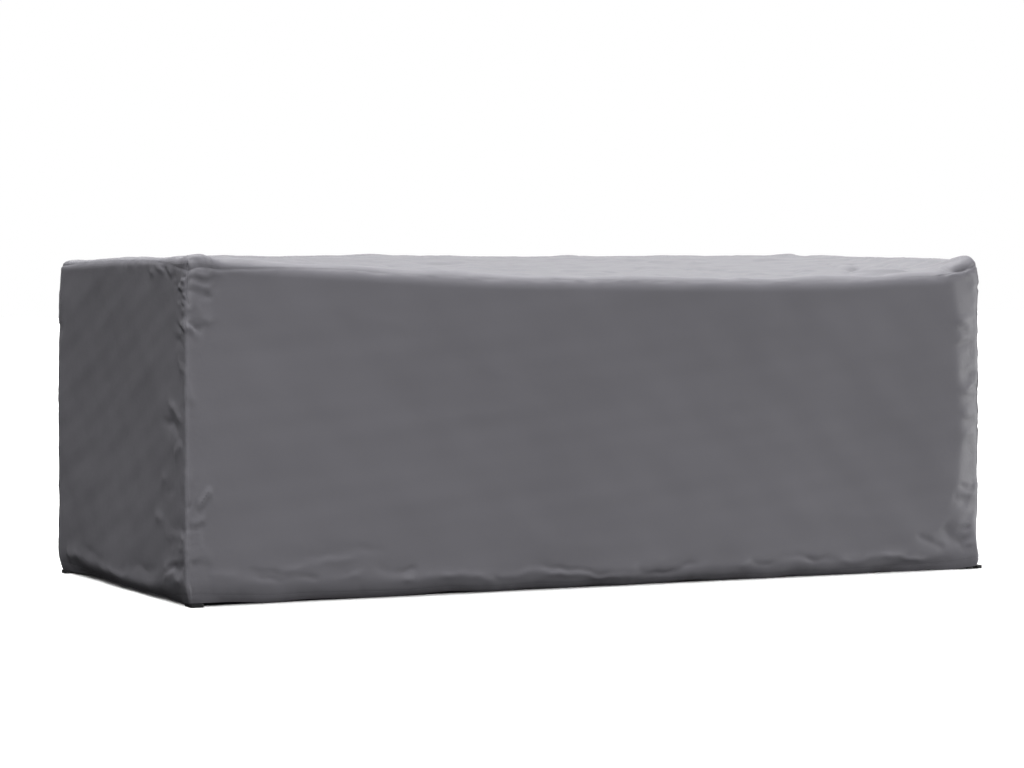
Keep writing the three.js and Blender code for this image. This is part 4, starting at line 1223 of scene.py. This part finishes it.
def stitch_row(side, a, b):
    """Corner points of the stitches along a line of places on a side, at even steps along the
    finished cloth. Each stitch is four rings of four points about its middle line."""
    a, b = np.broadcast_arrays(np.asarray(a, float), np.asarray(b, float))
    level = np.ptp(a) > np.ptp(b)
    line = covered(*ON[side](a, b))
    beside = covered(*(ON[side](a, b + 1.0) if level else ON[side](a + 1.0, b)))
    way = np.broadcast_to(hang(*ON[side](a, b))[1], line.shape)
    length = lengths_along(line)
    at = np.arange(STITCH_PITCH, length[-1] - STITCH_PITCH, STITCH_PITCH)

    def sample(values, where):
        return np.stack([np.interp(where, length, values[:, k]) for k in range(3)], -1)

    middle = sample(line, at)
    ahead = unit(sample(line, at + LOOK) - sample(line, at - LOOK))
    out = unit(np.cross(ahead, sample(beside, at) - middle))
    out = out * np.sign(np.sum(out * sample(way, at), axis=-1, keepdims=True))
    across = np.cross(out, ahead)
    angle = np.arange(4) * np.pi / 2
    spoke = np.cos(angle)[:, None] * out[:, None] + np.sin(angle)[:, None] * across[:, None]
    rings = []
    for share, girth, lift in SPINDLE:
        centre = middle + ahead * share * STITCH_LENGTH + out * lift * THREAD_RADIUS
        rings.append(centre[:, None] + spoke * girth * THREAD_RADIUS)
    return np.stack(rings, 1)


def stitches(name, rows):
    """The stitches of several rows as one mesh: quads from ring to ring, and a quad at each
    end of a stitch."""
    points = np.concatenate([stitch_row(*row) for row in rows])
    count, rings, sides, _ = points.shape
    last = (rings - 1) * sides
    quads = np.concatenate([tube_quads(rings, sides)[:, TURNED_OVER],
                            [[0, 1, 2, 3], [last + 3, last + 2, last + 1, last]]])
    every = (quads[None] + np.arange(count)[:, None, None] * rings * sides).reshape(-1, 4)
    obj = mesh_object(name, points.reshape(-1, 3), every)
    obj.data.materials.append(THREAD)
    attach(obj, "root")
    print(name, count, "stitches")
    return obj


# %% The sewing of each panel
SEAM_SEW = 6.0         # distance of the topstitching from the seam
ROW_END = 8            # how far from a corner the rows of stitches stop
LINE_STEP = 2.0        # steps in which a row follows the cloth

run_x = np.arange(-HALF_L + ROW_END, HALF_L - ROW_END, LINE_STEP)
run_y = np.arange(-HALF_W + ROW_END, HALF_W - ROW_END, LINE_STEP)
run_h = np.arange(HEIGHT - ROW_END, HEM_SEW + ROW_END / 2, -LINE_STEP)
uprights = [-HALF_L + SEAM_SEW, HALF_L - SEAM_SEW]
sewing = {
    "top_panel": stitches("top_stitches", [
        ("top", run_x, -HALF_W + SEAM_SEW), ("top", run_x, HALF_W - SEAM_SEW),
        ("top", -HALF_L + SEAM_SEW, run_y), ("top", HALF_L - SEAM_SEW, run_y)]),
    "front_panel": stitches("front_stitches", [("front", run_x, HEM_SEW)]
                            + [("front", x, run_h) for x in uprights]),
    "back_panel": stitches("back_stitches", [("back", run_x, HEM_SEW)]
                           + [("back", x, run_h) for x in uprights]),
    "left_end_panel": stitches("left_end_stitches", [("left", run_y, HEM_SEW)]),
    "right_end_panel": stitches("right_end_stitches", [("right", run_y, HEM_SEW)]),
}

# %% [markdown]
# ## The sheets join the root
#
# Each panel joins the root, and the frame's own panel of that name is hidden. The cuts are the
# box's own sides, with 20 mm more on the side panels, which is turned up inside the hem. The
# side panels hang from the top.

# %% The sheets join the root
for name, (obj, inside) in panels.items():
    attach(obj, "root")
    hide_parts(name)

# %% [markdown]
# ## Straps and buckles
#
# Inside each corner a short black tape is sewn to the hem. It turns in under the cloth and goes
# round the bar of a buckle that lies on the ground. The buckles are hard, and their packed
# shapes are right, so they keep them and only get a finish. The tapes are soft, so they are
# made again here: a flat section with round edges is carried along each tape's path.

# %% Where a strap runs
STRAP_WIDTH, STRAP_THICK = 20.0, 1.6
STRAP_GAP = 0.6        # between the tape and the cloth or the buckle
STRAP_TOP = 52.0       # how high up the tape is sewn
STRAP_BEND = 5.0       # radius of its turn over the buckle
BUCKLE_LENGTH, BUCKLE_THICK, BUCKLE_BAR = 52.0, 9.0, 4.5
ACROSS_TAPE = (-0.5, -0.25, 0, 0.25, 0.5)   # places across it, in its widths
LEG_STEP, LEG_END = 3.0, 6      # steps down the hem, and how far over the buckle they end
LEG_SLACK = 0.5                 # the bend starts this much further in
WRAP_LIFT, WRAP_PAST = 1, 1     # the turn's height off the ground, and how far it passes the bar
BEND_POINTS, LOOP_POINTS = 7, 13
# Corner, side that holds the strap, place along it, and how far the buckle reaches out
TIES = [("near_left", "front", -1169, 3), ("near_right", "right", -500, 26),
        ("far_left", "left", 484, 6), ("far_right", "back", 1160, -2)]


def inner_face(side, at):
    """The cloth's inner face behind a strap: for a height, how far outside the flat side it
    lies, taken where it is furthest in across the strap's width."""
    axis, half = (1, HALF_W) if side in ("front", "back") else (0, HALF_L)
    heights = np.linspace(0, 120, 61)
    lines = []
    for offset in ACROSS_TAPE:
        p = covered(*ON[side](np.full_like(heights, at + offset * STRAP_WIDTH), heights))
        z, out = p[:, 2], np.abs(p[:, axis]) - half
        lean = np.gradient(out, z)
        lines.append((z, out - CLOTH * np.hypot(1, lean)))
    return lambda z: min(float(np.interp(z, *line)) for line in lines)


def strap_path(inside, out):
    """Middle line of a strap, outwards and up, in mm: down the inside of the hem, a quarter
    turn inwards over the buckle, and half a turn round the buckle's bar."""
    half = STRAP_THICK / 2
    over = BUCKLE_THICK + STRAP_GAP + half
    heights = np.arange(STRAP_TOP, over + LEG_END, -LEG_STEP)
    leg = [(inside(z) - STRAP_GAP - half, z) for z in heights]
    foot = min(u for u, z in leg[-3:]) - LEG_SLACK
    turn = np.linspace(0, np.pi / 2, BEND_POINTS)
    bend = [(foot - STRAP_BEND * (1 - math.cos(t)), over + STRAP_BEND * (1 - math.sin(t)))
            for t in turn]
    bar = out - BUCKLE_LENGTH + BUCKLE_BAR / 2
    wrap = (over - half - WRAP_LIFT) / 2
    loop = np.linspace(np.pi / 2, 1.5 * np.pi, LOOP_POINTS)
    centre = bar - BUCKLE_BAR / 2 + WRAP_PAST
    middle = [((foot - STRAP_BEND + centre) / 2, over)]
    round_bar = [(centre + wrap * math.cos(t), over - wrap + wrap * math.sin(t)) for t in loop]
    return np.array(leg + bend + middle + round_bar)


paths = {corner: strap_path(inner_face(side, at), out) for corner, side, at, out in TIES}
print({corner: len(path) for corner, path in paths.items()}, "points along the straps")

# %% Straps
EDGE_POINTS = 5         # round each half-round edge of the tape


def strap(corner, side, at):
    """A flat section with half-round edges, carried along the strap's path: each ring stands
    square to the path, and the two ends are closed."""
    path = paths[corner]
    ahead = unit(np.gradient(path, axis=0))
    up = np.stack([-ahead[:, 1], ahead[:, 0]], -1)
    half = STRAP_THICK / 2
    flat = STRAP_WIDTH / 2 - half
    edge = np.linspace(-np.pi / 2, np.pi / 2, EDGE_POINTS)
    across = np.concatenate([flat + half * np.cos(edge), -flat - half * np.cos(edge)])
    lift = np.concatenate([half * np.sin(edge), half * np.sin(edge)[::-1]])
    u = path[:, 0, None] + up[:, 0, None] * lift
    z = path[:, 1, None] + up[:, 1, None] * lift
    v = np.broadcast_to(across, u.shape)
    points = {"front": (at + v, -HALF_W - u, z), "back": (at - v, HALF_W + u, z),
              "right": (HALF_L + u, at + v, z), "left": (-HALF_L - u, at - v, z)}[side]
    points = np.stack(points, -1)
    rings, sides, _ = points.shape
    k = np.arange(sides // 2 - 1)
    cap = np.stack([k, sides - 1 - k, sides - 2 - k, k + 1], -1)
    quads = np.concatenate([tube_quads(rings, sides), cap, cap[:, ::-1] + (rings - 1) * sides])
    length = lengths_along(path)
    uv = np.stack([np.broadcast_to(across, u.shape), np.broadcast_to(length[:, None], u.shape)], -1)
    obj = mesh_object("strap_" + corner + "_tape", points.reshape(-1, 3), quads,
                      uv.reshape(-1, 2)[quads.ravel()] * METRES)
    obj.data.materials.append(WEBBING)
    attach(obj, "root")
    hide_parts("strap_" + corner)
    print(obj.name, round(float(length[-1])), "mm of tape")
    return obj


for corner, side, at, _ in TIES:
    strap(corner, side, at)

# %% Buckles
for name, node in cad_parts.items():
    if name.startswith("buckle_"):
        node.data.materials.clear()
        node.data.materials.append(PLASTIC)
        print(name, "in", PLASTIC.name)

# %% [markdown]
# ## Floor and light
#
# The floor is plain and white, and the light is soft. Most of it comes from a wide sun
# overhead, which makes the top pale and catches the upper side of every fold. The front gets
# less, from a sun above the camera, a box near it and a box to the right. The right one stands
# low, because from higher up the satin top would mirror it in some views. Two weak suns behind
# skim the top, and the cloth mirrors them wherever a crease tips it their way.

# %% Lights
def softbox(name, place, aim, size, watts):
    """A rectangular area light at a place, turned to face a point."""
    light = bpy.data.lights.new(name, "AREA")
    light.shape = "RECTANGLE"
    light.size, light.size_y = size
    light.energy = watts
    obj = bpy.data.objects.new(name, light)
    bpy.context.collection.objects.link(obj)
    obj.location = place
    way = mathutils.Vector(aim) - mathutils.Vector(place)
    obj.rotation_euler = way.to_track_quat("-Z", "Y").to_euler()


def sunlight(name, towards, angle, strength):
    """Even light from one direction, given as the way towards it, as soft as its angle."""
    light = bpy.data.lights.new(name, "SUN")
    light.angle = math.radians(angle)
    light.energy = strength
    obj = bpy.data.objects.new(name, light)
    bpy.context.collection.objects.link(obj)
    obj.rotation_euler = mathutils.Vector(towards).to_track_quat("Z", "Y").to_euler()


sunlight("overhead", (0.0, 0.15, 1.0), 60, 5.6)
sunlight("key", (-0.32, -0.66, 0.66), 24, 1.3)
sunlight("behind", (0.15, 0.80, 0.58), 18, 0.35)
sunlight("behind_low", (0.5, 0.75, 0.42), 20, 0.2)
softbox("right", (9.0, -2.4, 0.0), (1.2, -0.5, 0.5), (5, 2.8), 500)
softbox("by_camera", (-3.5, -5.0, 2.5), (-0.8, -0.5, 0.5), (2.5, 2), 95)
print([light.name for light in bpy.data.lights])

# %% [markdown]
# ## The room
#
# The camera sees the room white. For the cover it is nearly dark, apart from a dim wall behind
# it and a little light that comes up from the front. That last part stands for the floor, whose
# own light is turned off: under this much overhead light it would wash out the shade of the left
# end and the hem. The floor casts no shadow either, so the light from below reaches the cover
# through it.

# %% Room and floor
WALL_GLOW, FLOOR_GLOW = 0.3, 0.35
HORIZON = (-0.06, 0.02)         # between these the glow goes over from below to above

world = bpy.data.worlds.new("studio")
bpy.context.scene.world = world
world.use_nodes = True
put, add = node_tools(world.node_tree)


def step_of(value, low, high, start, end):
    """The socket's value from low to high taken smoothly from start to end."""
    return add("MapRange", {0: value, 1: low, 2: high, 3: start, 4: end},
               interpolation_type="SMOOTHSTEP")


heading = add("SeparateXYZ", {0: add("TexCoord", {}, out="Generated")}).node
_, back_way, up_way = heading.outputs
wall = maths(add, "MULTIPLY", step_of(back_way, 0.2, 0.7, 0.0, WALL_GLOW),
             step_of(up_way, *HORIZON, 0.0, 1.0))
below = maths(add, "MULTIPLY", step_of(back_way, -0.7, -0.1, FLOOR_GLOW, 0.0),
              step_of(up_way, *HORIZON, 1.0, 0.0))
glow = maths(add, "ADD", wall, below)
seen = add("LightPath", {}, out="Is Camera Ray")
strength = add("Mix", {0: seen, 2: glow, 3: 1.0}, data_type="FLOAT")
put(world.node_tree.nodes["Background"], {"Color": (1, 1, 1, 1), "Strength": strength})

FLOOR_HALF = 40.0               # metres
paint, _, _ = new_material("white_floor", (0.95, 0.95, 0.95), 0.9, 0.2)
corners = FLOOR_HALF * np.array([(-1, -1, 0), (1, -1, 0), (1, 1, 0), (-1, 1, 0)]) / METRES
floor = mesh_object("floor", corners, np.array([[0, 1, 2, 3]]))
floor.data.materials.append(paint)
floor.visible_diffuse = False
floor.visible_glossy = False
floor.visible_shadow = False
bpy.context.scene.view_settings.view_transform = "Standard"
print("floor", 2 * FLOOR_HALF, "m wide, and a dim wall")
